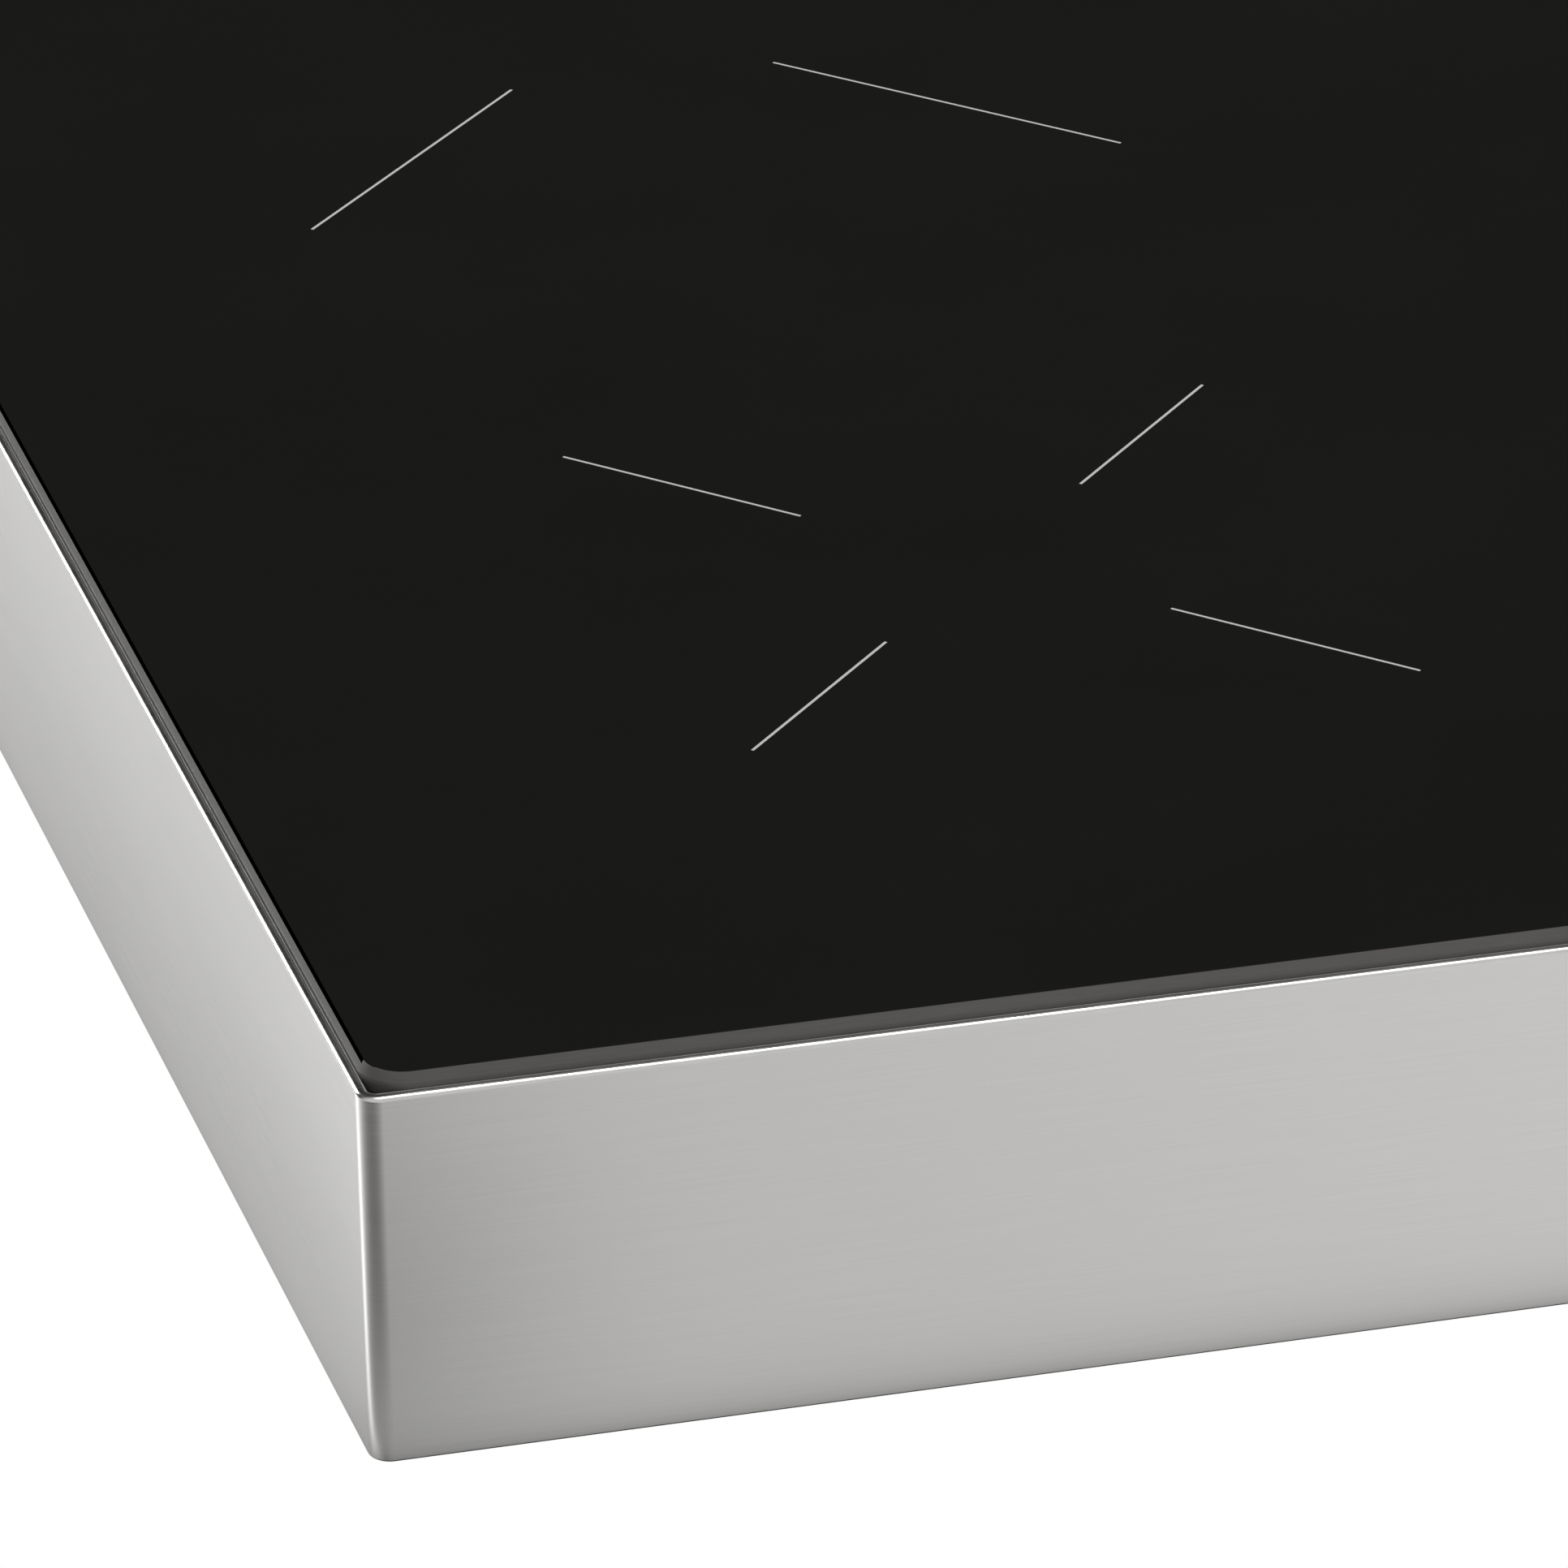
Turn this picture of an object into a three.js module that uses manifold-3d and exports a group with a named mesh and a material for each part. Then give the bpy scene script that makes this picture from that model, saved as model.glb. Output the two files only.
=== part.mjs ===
// A free-standing electric induction cooktop: a black glass-ceramic pane in a folded steel
// skirt, with four spring-mounted induction coils, their power electronics, two cooling fans,
// a touch board and a bottom tray on four rubber feet.
// Millimetres. +X right, +Y to the back, +Z up. The origin is on the surface the feet stand on,
// under the middle of the cooktop.

import * as THREE from "three";
import { mergeVertices } from "three/addons/utils/BufferGeometryUtils.js";
import Module from "manifold-3d";

const wasm = await Module();
wasm.setup();

// ---------------------------------------------------------------- driving dimensions

// Overall
const WIDTH = 600; // over the skirt, left to right
const DEPTH = 520; // over the skirt, front to back
const FLOOR_GAP = 2.6; // standing surface to the skirt's lower edge
const SKIRT_HEIGHT = 65.9;

// Fits
const GAP = 0.3; // between pieces that rest on each other
const EDGE_GAP = 0.4; // joint round the pane, filled with sealant
const SLIDE_GAP = 1.5; // round what moves up and down

// Steel skirt
const SKIRT_WALL = 1.5;
const SKIRT_LEAN = 2.9; // each wall's lower edge in from its upper edge
const SKIRT_CORNER = 3.5;
const LIP_ROUND = 0.8;
const LEDGE_WIDTH = 12;
const LEDGE_THICK = 1.2;
const VENT_WIDTH = 3;
const VENT_HEIGHT = 16;
const VENT_PITCH = 9;
const VENT_COUNT = 10;

// Glass-ceramic pane and its sealant
const GLASS_THICK = 4;
const GLASS_PROUD = 2.5; // above the skirt's lip
const GLASS_CORNER = 7;
const BEVEL_WIDTH = 0.8;
const BEVEL_HEIGHT = 1.6;
const SEAL_THICK = 1.4;
const SEAL_WIDTH = 9;

// Cooking zones: printed diameter, and the centre's distances from the skirt's outer faces
const LARGE_ZONE = 210;
const SMALL_ZONE = 160;
const ZONE_FROM_SIDE = 146;
const ZONES = [
  { name: "front_left", side: -1, end: -1, fromEnd: 150, diameter: SMALL_ZONE },
  { name: "rear_left", side: -1, end: 1, fromEnd: 139, diameter: LARGE_ZONE },
  { name: "front_right", side: 1, end: -1, fromEnd: 175, diameter: LARGE_ZONE },
  { name: "rear_right", side: 1, end: 1, fromEnd: 114, diameter: SMALL_ZONE },
];

// Induction coil: mat, mica, winding, carrier and ferrites, from the top down
const MAT_THICK = 4;
const MICA_THICK = 0.6;
const WINDING_THICK = 6.5;
const WINDING_INSET = 5; // winding's edge inside the printed zone
const WINDING_HOLE = 21; // radius
const CARRIER_BASE = 2.2;
const CARRIER_RIM = 1.5; // wall thickness
const CARRIER_RIM_DROP = 1; // rim's top below the winding's top
const FERRITE_THICK = 5;
const FERRITE_WIDTH = 13;
const FERRITE_HUB_IN = 13;
const FERRITE_HUB_OUT = 22;
const SENSOR_HEAD = 6.5; // radius
const SENSOR_STEM = 4; // radius
const SENSOR_COLLAR = 10; // radius
const SENSOR_COLLAR_THICK = 1.2;
const SENSOR_TAIL = 7; // below the carrier

// Coil springs
const SPRING_LENGTH = 14.7;
const SPRING_RADIUS = 5; // to the wire's middle
const SPRING_WIRE = 0.65; // radius
const SPRING_TURNS = 4;
const SPRING_INSET = 16; // in from the winding's edge
const SPRINGS_PER_COIL = 3;
const POST_RADIUS = 3;
const POST_HEIGHT = 5;
const BOSS_HEIGHT = 3;
const COIL_SIDES = 26; // facets round the coil's turned pieces

// Coil support plates
const PLATE_THICK = 1.2;
const PLATE_MIDDLE_GAP = 20; // between the two plates
const PLATE_EDGE_GAP = 8; // to the ledge's inner edge
const PLATE_LEG = 12; // width
const PLATE_LEG_FROM_FRONT = 24;
const PLATE_LEG_FROM_BACK = 92;

// Bottom tray and feet
const TRAY_THICK = 1;
const TRAY_LIFT = 5.9; // above the skirt's lower edge
const TRAY_RIM = 5;
const TRAY_SIDE_GAP = 0.5;
const STANDOFF_RADIUS = 4;
const STANDOFF_HEIGHT = 4.5;
const INLET_SLOT = 3;
const INLET_SLOTS = 7;
const INLET_SLOT_MARGIN = 4.5; // outermost slot's middle inside the fan's inlet
const FOOT_RADIUS = 15;
const FOOT_CHAMFER = 2;
const FOOT_INSET = 55;

// Power boards, heat sinks and fans
const BOARD_THICK = 1.6;
const BOARD_WIDTH = 220;
const BOARD_LENGTH = 216;
const BOARD_HOLE_INSET = 8;
const BOARD_BEHIND_FAN = 7.5;
const SINK_WIDTH = 62;
const SINK_LENGTH = 126;
const SINK_BASE = 4;
const SINK_FROM_FRONT = 4; // board's front edge to the heat sink
const FIN_COUNT = 9;
const FIN_THICK = 1.6;
const SINK_HEADROOM = 1.5;
const FAN_FROM_FRONT = 110; // fan's axis to the skirt's front face
const FAN_WALL = 1.5;
const SCROLL_ROOM = 3; // round the wheel, at the tongue
const SCROLL_GROWTH = 10; // from the tongue to the outlet
const SCROLL_START = 60; // degrees, at the tongue
const SCROLL_STEP = 15; // degrees
const OUTLET_LENGTH = 50;
const INLET_LAP = 1; // inlet's edge inside the wheel's ring
const WHEEL_RADIUS = 33;
const WHEEL_RING = 1.4;
const WHEEL_RING_WIDTH = 8;
const HUB_RADIUS = 13;
const BLADE_COUNT = 13;
const BLADE_THICK = 1.2;
const BLADE_CHORD = 7;
const BLADE_LEAN = 35; // degrees
const SHAFT_RADIUS = 1.5;
const MOTOR_RADIUS = 11;
const MOTOR_HEIGHT = 5;

// Mains side
const FILTER_WIDTH = 120;
const FILTER_LENGTH = 62;
const CHOKE_RADIUS = 13;
const CHOKE_HEIGHT = 16;
const CHOKES_X = [-30, 4]; // from the filter board's middle
const FILTER_CAP_X = 36;
const FILTER_CAP_WIDTH = 16;
const FILTER_CAP_LENGTH = 30;
const FILTER_CAP_HEIGHT = 13;
const CABLE_RADIUS = 4.5;
const CABLE_FROM_SIDE = 62;
const GROMMET_RADIUS = 7.5;
const GROMMET_FLANGE = 9.2;
const GROMMET_FLANGE_THICK = 2.5;
const GROMMET_LIFT = 1.3; // flange above the tray's rim
const CLAMP_WIDTH = 30;
const CLAMP_LENGTH = 10;
const TERMINAL_WIDTH = 46;
const TERMINAL_LENGTH = 20;
const TERMINAL_HEIGHT = 17;
const TERMINAL_FROM_BACK = 46;
const TERMINAL_POLES = 5;
const TERMINAL_RIB = 2.4;
const TERMINAL_WALL = 2.5;
const TERMINAL_WELL = 7; // depth

// Touch controls
const TOUCH_LENGTH = 44;
const TOUCH_FROM_LEDGE = 4;
const TOUCH_TO_PLATE = 10;
const TOUCH_BELOW_GLASS = 7.4;
const KEY_COUNT = 8;
const KEY_RADIUS = 5;
const KEY_PITCH = 20;
const KEY_MARGIN = 18; // outermost key's middle to the board's end
const KEYS_FORWARD = 9; // from the board's middle line
const DISPLAY_WIDTH = 70;
const DISPLAY_LENGTH = 13;
const DISPLAY_BACKWARD = 11; // from the board's middle line
const BRACKET_THICK = 2;
const BRACKET_LEG_RADIUS = 5;

// ---------------------------------------------------------------- heights and places

const SKIRT_BOTTOM = FLOOR_GAP;
const SKIRT_TOP = SKIRT_BOTTOM + SKIRT_HEIGHT;
const GLASS_TOP = SKIRT_TOP + GLASS_PROUD;
const GLASS_BOTTOM = GLASS_TOP - GLASS_THICK;
const SEAL_TOP = GLASS_BOTTOM - GAP;
const LEDGE_TOP = SEAL_TOP - SEAL_THICK - GAP;
const MAT_TOP = GLASS_BOTTOM - GAP;
const MICA_TOP = MAT_TOP - MAT_THICK - GAP;
const WINDING_TOP = MICA_TOP - MICA_THICK - GAP;
const CARRIER_TOP = WINDING_TOP - WINDING_THICK - GAP; // top of the carrier's floor
const CARRIER_BOTTOM = CARRIER_TOP - CARRIER_BASE;
const FERRITE_TOP = CARRIER_BOTTOM - GAP;
const SPRING_TOP = CARRIER_BOTTOM - GAP;
const SPRING_BOTTOM = SPRING_TOP - SPRING_LENGTH;
const PLATE_TOP = SPRING_BOTTOM - GAP;
const PLATE_BOTTOM = PLATE_TOP - PLATE_THICK;
const TRAY_BOTTOM = SKIRT_BOTTOM + TRAY_LIFT;
const TRAY_TOP = TRAY_BOTTOM + TRAY_THICK;
const ON_TRAY = TRAY_TOP + GAP;
const BOARD_BOTTOM = TRAY_TOP + STANDOFF_HEIGHT + GAP;
const BOARD_TOP = BOARD_BOTTOM + BOARD_THICK;
const VENT_BOTTOM = BOARD_TOP + 1;
const FAN_BOTTOM = ON_TRAY;
const FAN_TOP = PLATE_BOTTOM - GAP;
const HEADROOM = PLATE_BOTTOM - SINK_HEADROOM; // highest point of what stands under the plates
const GROMMET_Z = TRAY_TOP + TRAY_RIM + GROMMET_LIFT + GROMMET_FLANGE;
const TOUCH_TOP = GLASS_BOTTOM - TOUCH_BELOW_GLASS;
const TOUCH_BOTTOM = TOUCH_TOP - BOARD_THICK;

const FRONT = -DEPTH / 2;
const BACK = DEPTH / 2;
const LEDGE_INSET = SKIRT_WALL + LEDGE_WIDTH;
const TOUCH_FRONT = FRONT + LEDGE_INSET + TOUCH_FROM_LEDGE;
const TOUCH_Y = TOUCH_FRONT + TOUCH_LENGTH / 2;
const TOUCH_WIDTH = (KEY_COUNT - 1) * KEY_PITCH + 2 * KEY_MARGIN;
const PLATE_FRONT = TOUCH_FRONT + TOUCH_LENGTH + TOUCH_TO_PLATE;
const PLATE_BACK = BACK - LEDGE_INSET - PLATE_EDGE_GAP;
const PLATE_SIDE = WIDTH / 2 - LEDGE_INSET;
const FAN_Y = FRONT + FAN_FROM_FRONT;
const BOARD_X = WIDTH / 2 - ZONE_FROM_SIDE;
const BOARD_FRONT = FAN_Y + OUTLET_LENGTH + BOARD_BEHIND_FAN;
const BOARD_BACK = BOARD_FRONT + BOARD_LENGTH;
const SCROLL_SMALL = WHEEL_RADIUS + SCROLL_ROOM;
const SCROLL_LARGE = SCROLL_SMALL + SCROLL_GROWTH;
const INLET_RADIUS = WHEEL_RADIUS - WHEEL_RING_WIDTH - INLET_LAP;
const OUTLET_INNER = SCROLL_SMALL * Math.cos(THREE.MathUtils.degToRad(SCROLL_START));
const FAN_SHIFT = (OUTLET_INNER + SCROLL_LARGE) / 2; // the outlet's middle from the fan's axis
const CABLE_X = WIDTH / 2 - CABLE_FROM_SIDE;
const CLAMP_Y = PLATE_BACK + SLIDE_GAP + CLAMP_LENGTH / 2; // behind the plates

const SIDES = [
  { name: "left", sign: -1 },
  { name: "right", sign: 1 },
];

// How far in the skirt's leaning walls stand at a height.
const leanAt = (z) => (SKIRT_LEAN * (SKIRT_TOP - z)) / SKIRT_HEIGHT;

const WALL_AT_CABLE = BACK - leanAt(GROMMET_Z - GROMMET_FLANGE);

const zoneX = (zone) => zone.side * (WIDTH / 2 - ZONE_FROM_SIDE);
const zoneY = (zone) => zone.end * (DEPTH / 2 - zone.fromEnd);
const windingRadius = (zone) => zone.diameter / 2 - WINDING_INSET;
const springRadius = (zone) => windingRadius(zone) - SPRING_INSET;
const springAngle = (index) => (index * 2 * Math.PI) / SPRINGS_PER_COIL;
const boardX = (side) => side.sign * BOARD_X;
const fanX = (side) => boardX(side) - FAN_SHIFT;

// ---------------------------------------------------------------- materials

function finish(color, roughness, metalness) {
  return new THREE.MeshStandardMaterial({ color, roughness, metalness });
}

const GLASS_CERAMIC = finish(0x181816, 0.08, 0);
const SILICONE = finish(0x1c1c1c, 0.7, 0);
const STAINLESS = finish(0xc4c3c0, 0.35, 1);
const GALVANISED = finish(0xa9abaa, 0.5, 0.9);
const ALUMINIUM = finish(0xc9cbcc, 0.45, 1);
const COPPER = finish(0xb4683a, 0.4, 1);
const FERRITE = finish(0x2b2b2d, 0.6, 0.1);
const MICA = finish(0xc9b98f, 0.5, 0);
const CERAMIC_FIBRE = finish(0xe9e6dd, 0.95, 0);
const SPRING_STEEL = finish(0x9b9da0, 0.3, 1);
const CIRCUIT_BOARD = finish(0x1f5c34, 0.6, 0);
const BLACK_PLASTIC = finish(0x1b1b1c, 0.5, 0);
const GREY_PLASTIC = finish(0x77797a, 0.55, 0);
const RUBBER = finish(0x202020, 0.9, 0);
const CERAMIC = finish(0xdedad0, 0.5, 0);

// ---------------------------------------------------------------- shapes

// A manifold-3d solid of a closed three.js geometry.
function solid(geometry) {
  const bare = geometry.index ? geometry.toNonIndexed() : geometry.clone();
  bare.deleteAttribute("normal");
  bare.deleteAttribute("uv");
  const merged = mergeVertices(bare, 1e-4);
  const vertProperties = merged.attributes.position.array;
  const triVerts = new Uint32Array(merged.index.array);
  return new wasm.Manifold(new wasm.Mesh({ numProp: 3, vertProperties, triVerts }));
}

function geometryOf(body) {
  const { vertProperties, triVerts } = body.getMesh();
  const geometry = new THREE.BufferGeometry();
  geometry.setAttribute("position", new THREE.BufferAttribute(vertProperties, 3));
  geometry.setIndex(new THREE.BufferAttribute(triVerts, 1));
  geometry.computeVertexNormals();
  return geometry;
}

const join = (bodies) => bodies.reduce((all, body) => all.add(body));

// A box from its low and high corners.
function box([x0, y0, z0], [x1, y1, z1]) {
  const shape = new THREE.BoxGeometry(x1 - x0, y1 - y0, z1 - z0);
  return solid(shape.translate((x0 + x1) / 2, (y0 + y1) / 2, (z0 + z1) / 2));
}

// A box of a given width and length centred on (x, y), between two heights.
function block(x, y, width, length, z0, z1) {
  return box([x - width / 2, y - length / 2, z0], [x + width / 2, y + length / 2, z1]);
}

// A round bar about +Z.
function disc(x, y, radius, z0, z1, sides = 20) {
  const shape = new THREE.CylinderGeometry(radius, radius, z1 - z0, sides);
  return solid(shape.rotateX(Math.PI / 2).translate(x, y, (z0 + z1) / 2));
}

// A turned body about +Z through (x, y), from a closed profile of [radius, height] points that
// runs up its outside and down its inside.
function turned(x, y, profile, sides = 24) {
  const points = profile.map(([radius, height]) => new THREE.Vector2(radius, height));
  const shape = new THREE.LatheGeometry(points, sides);
  return solid(shape.rotateX(Math.PI / 2).translate(x, y, 0));
}

function ring(x, y, inner, outer, z0, z1, sides = 24) {
  const profile = [[inner, z0], [outer, z0], [outer, z1], [inner, z1], [inner, z0]];
  return turned(x, y, profile, sides);
}

// A rectangle with rounded corners, centred on the origin.
function roundedRectangle(width, depth, radius) {
  const x = width / 2 - radius;
  const y = depth / 2 - radius;
  const quarter = Math.PI / 2;
  const shape = new THREE.Shape();
  shape.absarc(x, y, radius, 0, quarter);
  shape.absarc(-x, y, radius, quarter, 2 * quarter);
  shape.absarc(-x, -y, radius, 2 * quarter, 3 * quarter);
  shape.absarc(x, -y, radius, 3 * quarter, 4 * quarter);
  return shape;
}

function slab(shape, z0, z1, fit = (geometry) => geometry) {
  const options = { depth: z1 - z0, bevelEnabled: false, curveSegments: 4 };
  return solid(fit(new THREE.ExtrudeGeometry(shape, options).translate(0, 0, z0)));
}

// Leans an upright shape's sides in with the skirt's walls.
function leaning(geometry) {
  const points = geometry.getAttribute("position");
  for (let i = 0; i < points.count; i += 1) {
    const inward = leanAt(points.getZ(i));
    points.setX(i, points.getX(i) - Math.sign(points.getX(i)) * inward);
    points.setY(i, points.getY(i) - Math.sign(points.getY(i)) * inward);
  }
  return geometry;
}

// The plan of the skirt, moved in by a distance.
function insetPlan(inset, radius) {
  return roundedRectangle(WIDTH - 2 * inset, DEPTH - 2 * inset, radius);
}

// A slab whose top edge is rounded or bevelled and whose bottom edge is square.
function edgedSlab(shape, z0, z1, edge, fit = (geometry) => geometry) {
  const options = {
    depth: z1 - z0,
    bevelEnabled: true,
    bevelSize: edge.width,
    bevelOffset: -edge.width,
    bevelThickness: edge.height,
    bevelSegments: edge.segments,
    curveSegments: 4,
  };
  const both = new THREE.ExtrudeGeometry(shape, options);
  const long = solid(fit(both.translate(0, 0, z0 - edge.height)));
  return long.subtract(block(0, 0, 2 * WIDTH, 2 * DEPTH, z0 - 2 * edge.height, z0));
}

class Helix extends THREE.Curve {
  constructor(radius, height, turns) {
    super();
    this.radius = radius;
    this.height = height;
    this.turns = turns;
  }

  getPoint(t, target = new THREE.Vector3()) {
    const angle = 2 * Math.PI * this.turns * t;
    const x = this.radius * Math.cos(angle);
    const y = this.radius * Math.sin(angle);
    return target.set(x, y, this.height * t);
  }
}

// ---------------------------------------------------------------- assembly

const cooktop = new THREE.Group();

function add(name, material, body) {
  const mesh = new THREE.Mesh(geometryOf(body), material);
  mesh.name = name;
  cooktop.add(mesh);
}

// ---------------------------------------------------------------- housing

// Four walls of stainless sheet that lean in towards the bottom, with a rounded lip and a ledge
// inside that carries the pane. The back wall has the air slots and the mains cable's hole.
function steelFrame() {
  const outside = insetPlan(0, SKIRT_CORNER);
  const inside = insetPlan(SKIRT_WALL, SKIRT_CORNER - SKIRT_WALL);
  const lip = { width: LIP_ROUND, height: LIP_ROUND, segments: 3 };
  const rounded = edgedSlab(outside, SKIRT_BOTTOM, SKIRT_TOP, lip, leaning);
  const walls = rounded.subtract(slab(inside, SKIRT_BOTTOM - 1, SKIRT_TOP + 1, leaning));
  const ledgePlan = insetPlan(SKIRT_WALL / 2, SKIRT_CORNER - SKIRT_WALL / 2);
  const ledgeHole = insetPlan(LEDGE_INSET, SKIRT_CORNER);
  const ledge = slab(ledgePlan, LEDGE_TOP - LEDGE_THICK, LEDGE_TOP)
    .subtract(slab(ledgeHole, LEDGE_TOP - LEDGE_THICK - 1, LEDGE_TOP + 1));
  let frame = walls.add(ledge);
  for (const side of SIDES) {
    for (let i = 0; i < VENT_COUNT; i += 1) {
      const x = boardX(side) + (i - (VENT_COUNT - 1) / 2) * VENT_PITCH;
      const depth = 2 * (SKIRT_LEAN + 2 * SKIRT_WALL);
      const top = VENT_BOTTOM + VENT_HEIGHT;
      frame = frame.subtract(block(x, BACK, VENT_WIDTH, depth, VENT_BOTTOM, top));
    }
  }
  const holeRadius = GROMMET_RADIUS + GAP;
  const hole = new THREE.CylinderGeometry(holeRadius, holeRadius, 8 * SKIRT_WALL, 16);
  return frame.subtract(solid(hole.translate(CABLE_X, WALL_AT_CABLE, GROMMET_Z)));
}

// The pane, with its upper edge ground to a bevel.
function glassPane() {
  const plan = insetPlan(SKIRT_WALL + EDGE_GAP, GLASS_CORNER);
  const bevel = { width: BEVEL_WIDTH, height: BEVEL_HEIGHT, segments: 1 };
  return edgedSlab(plan, GLASS_BOTTOM, GLASS_TOP, bevel);
}

function paneSeal() {
  const outer = insetPlan(SKIRT_WALL + EDGE_GAP, SKIRT_CORNER - SKIRT_WALL);
  const inner = insetPlan(SKIRT_WALL + EDGE_GAP + SEAL_WIDTH, SKIRT_CORNER - SKIRT_WALL);
  const bottom = SEAL_TOP - SEAL_THICK;
  return slab(outer, bottom, SEAL_TOP).subtract(slab(inner, bottom - 1, SEAL_TOP + 1));
}

// Holes of one power board, where the tray's standoffs carry it.
function boardCorners(side) {
  const dx = BOARD_WIDTH / 2 - BOARD_HOLE_INSET;
  const corners = [];
  for (const x of [boardX(side) - dx, boardX(side) + dx]) {
    for (const y of [BOARD_FRONT + BOARD_HOLE_INSET, BOARD_BACK - BOARD_HOLE_INSET]) {
      corners.push([x, y]);
    }
  }
  return corners;
}

// Holes of the mains filter board.
function filterCorners() {
  const dx = FILTER_WIDTH / 2 - BOARD_HOLE_INSET;
  const back = PLATE_BACK - BOARD_HOLE_INSET;
  const front = PLATE_BACK - FILTER_LENGTH + BOARD_HOLE_INSET;
  return [[-dx, front], [dx, front], [-dx, back], [dx, back]];
}

// A shallow sheet tray with a turned-up rim, board standoffs, and air slots under both fans.
function bottomTray() {
  const edge = leanAt(TRAY_BOTTOM) + SKIRT_WALL + TRAY_SIDE_GAP;
  const radius = SKIRT_CORNER - SKIRT_WALL;
  const outside = slab(insetPlan(edge, radius), TRAY_BOTTOM, TRAY_TOP + TRAY_RIM);
  const hollow = slab(insetPlan(edge + TRAY_THICK, radius), TRAY_TOP, TRAY_TOP + TRAY_RIM + 1);
  let tray = outside.subtract(hollow);
  for (const [x, y] of [...SIDES.flatMap(boardCorners), ...filterCorners()]) {
    tray = tray.add(disc(x, y, STANDOFF_RADIUS, TRAY_BOTTOM, TRAY_TOP + STANDOFF_HEIGHT, 8));
  }
  const pitch = (2 * (INLET_RADIUS - INLET_SLOT_MARGIN)) / (INLET_SLOTS - 1);
  for (const side of SIDES) {
    for (let i = 0; i < INLET_SLOTS; i += 1) {
      const x = (i - (INLET_SLOTS - 1) / 2) * pitch;
      const length = 2 * Math.sqrt(INLET_RADIUS ** 2 - x ** 2);
      const slot = block(fanX(side) + x, FAN_Y, INLET_SLOT, length, TRAY_BOTTOM - 1, ON_TRAY);
      tray = tray.subtract(slot);
    }
  }
  return tray;
}

function foot(x, y) {
  const top = TRAY_BOTTOM - GAP;
  const profile = [
    [0, 0],
    [FOOT_RADIUS - FOOT_CHAMFER, 0],
    [FOOT_RADIUS, FOOT_CHAMFER],
    [FOOT_RADIUS, top],
    [0, top],
  ];
  return turned(x, y, profile, 20);
}

// ---------------------------------------------------------------- coils

// The ceramic-fibre mat over the two coils of one side, with a hole for each glass sensor.
function insulationMat(side) {
  const inner = side.sign * (PLATE_MIDDLE_GAP / 2);
  const outer = side.sign * (PLATE_SIDE - SLIDE_GAP);
  const low = [Math.min(inner, outer), PLATE_FRONT, MAT_TOP - MAT_THICK];
  const high = [Math.max(inner, outer), PLATE_BACK, MAT_TOP];
  const holes = ZONES.filter((zone) => zone.side === side.sign).map((zone) =>
    disc(zoneX(zone), zoneY(zone), SENSOR_HEAD + SLIDE_GAP, MAT_TOP - MAT_THICK - 1, MAT_TOP + 1, 12));
  return box(low, high).subtract(join(holes));
}

// A folded aluminium plate on four legs, with a locating post for each spring.
function supportPlate(side) {
  const inner = side.sign * (PLATE_MIDDLE_GAP / 2);
  const outer = side.sign * (PLATE_SIDE - PLATE_EDGE_GAP);
  const [x0, x1] = [Math.min(inner, outer), Math.max(inner, outer)];
  let plate = box([x0, PLATE_FRONT, PLATE_BOTTOM], [x1, PLATE_BACK, PLATE_TOP]);
  for (const x of [x0, x1 - PLATE_THICK]) {
    for (const y of [PLATE_FRONT + PLATE_LEG_FROM_FRONT, PLATE_BACK - PLATE_LEG_FROM_BACK]) {
      plate = plate.add(box([x, y, ON_TRAY], [x + PLATE_THICK, y + PLATE_LEG, PLATE_TOP]));
    }
  }
  for (const zone of ZONES.filter((each) => each.side === side.sign)) {
    for (const [x, y] of springPlaces(zone)) {
      plate = plate.add(disc(x, y, POST_RADIUS, PLATE_BOTTOM, PLATE_TOP + POST_HEIGHT, 8));
    }
  }
  return plate;
}

function springPlaces(zone) {
  const places = [];
  for (let i = 0; i < SPRINGS_PER_COIL; i += 1) {
    const x = zoneX(zone) + springRadius(zone) * Math.cos(springAngle(i));
    const y = zoneY(zone) + springRadius(zone) * Math.sin(springAngle(i));
    places.push([x, y]);
  }
  return places;
}

// A round dish that holds the winding, with a boss over each spring.
function coilCarrier(zone) {
  const [x, y] = [zoneX(zone), zoneY(zone)];
  const hole = SENSOR_STEM + SLIDE_GAP;
  const wallIn = windingRadius(zone) + GAP;
  const wallOut = wallIn + CARRIER_RIM;
  const rimTop = WINDING_TOP - CARRIER_RIM_DROP;
  const profile = [
    [hole, CARRIER_BOTTOM],
    [wallOut, CARRIER_BOTTOM],
    [wallOut, rimTop],
    [wallIn, rimTop],
    [wallIn, CARRIER_TOP],
    [hole, CARRIER_TOP],
    [hole, CARRIER_BOTTOM],
  ];
  const bosses = springPlaces(zone).map(([bx, by]) =>
    disc(bx, by, POST_RADIUS, CARRIER_BOTTOM - BOSS_HEIGHT, CARRIER_TOP, 8));
  return turned(x, y, profile, COIL_SIDES).add(join(bosses));
}

function coilWinding(zone) {
  const bottom = WINDING_TOP - WINDING_THICK;
  const outer = windingRadius(zone);
  return ring(zoneX(zone), zoneY(zone), WINDING_HOLE, outer, bottom, WINDING_TOP, COIL_SIDES);
}

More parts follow.
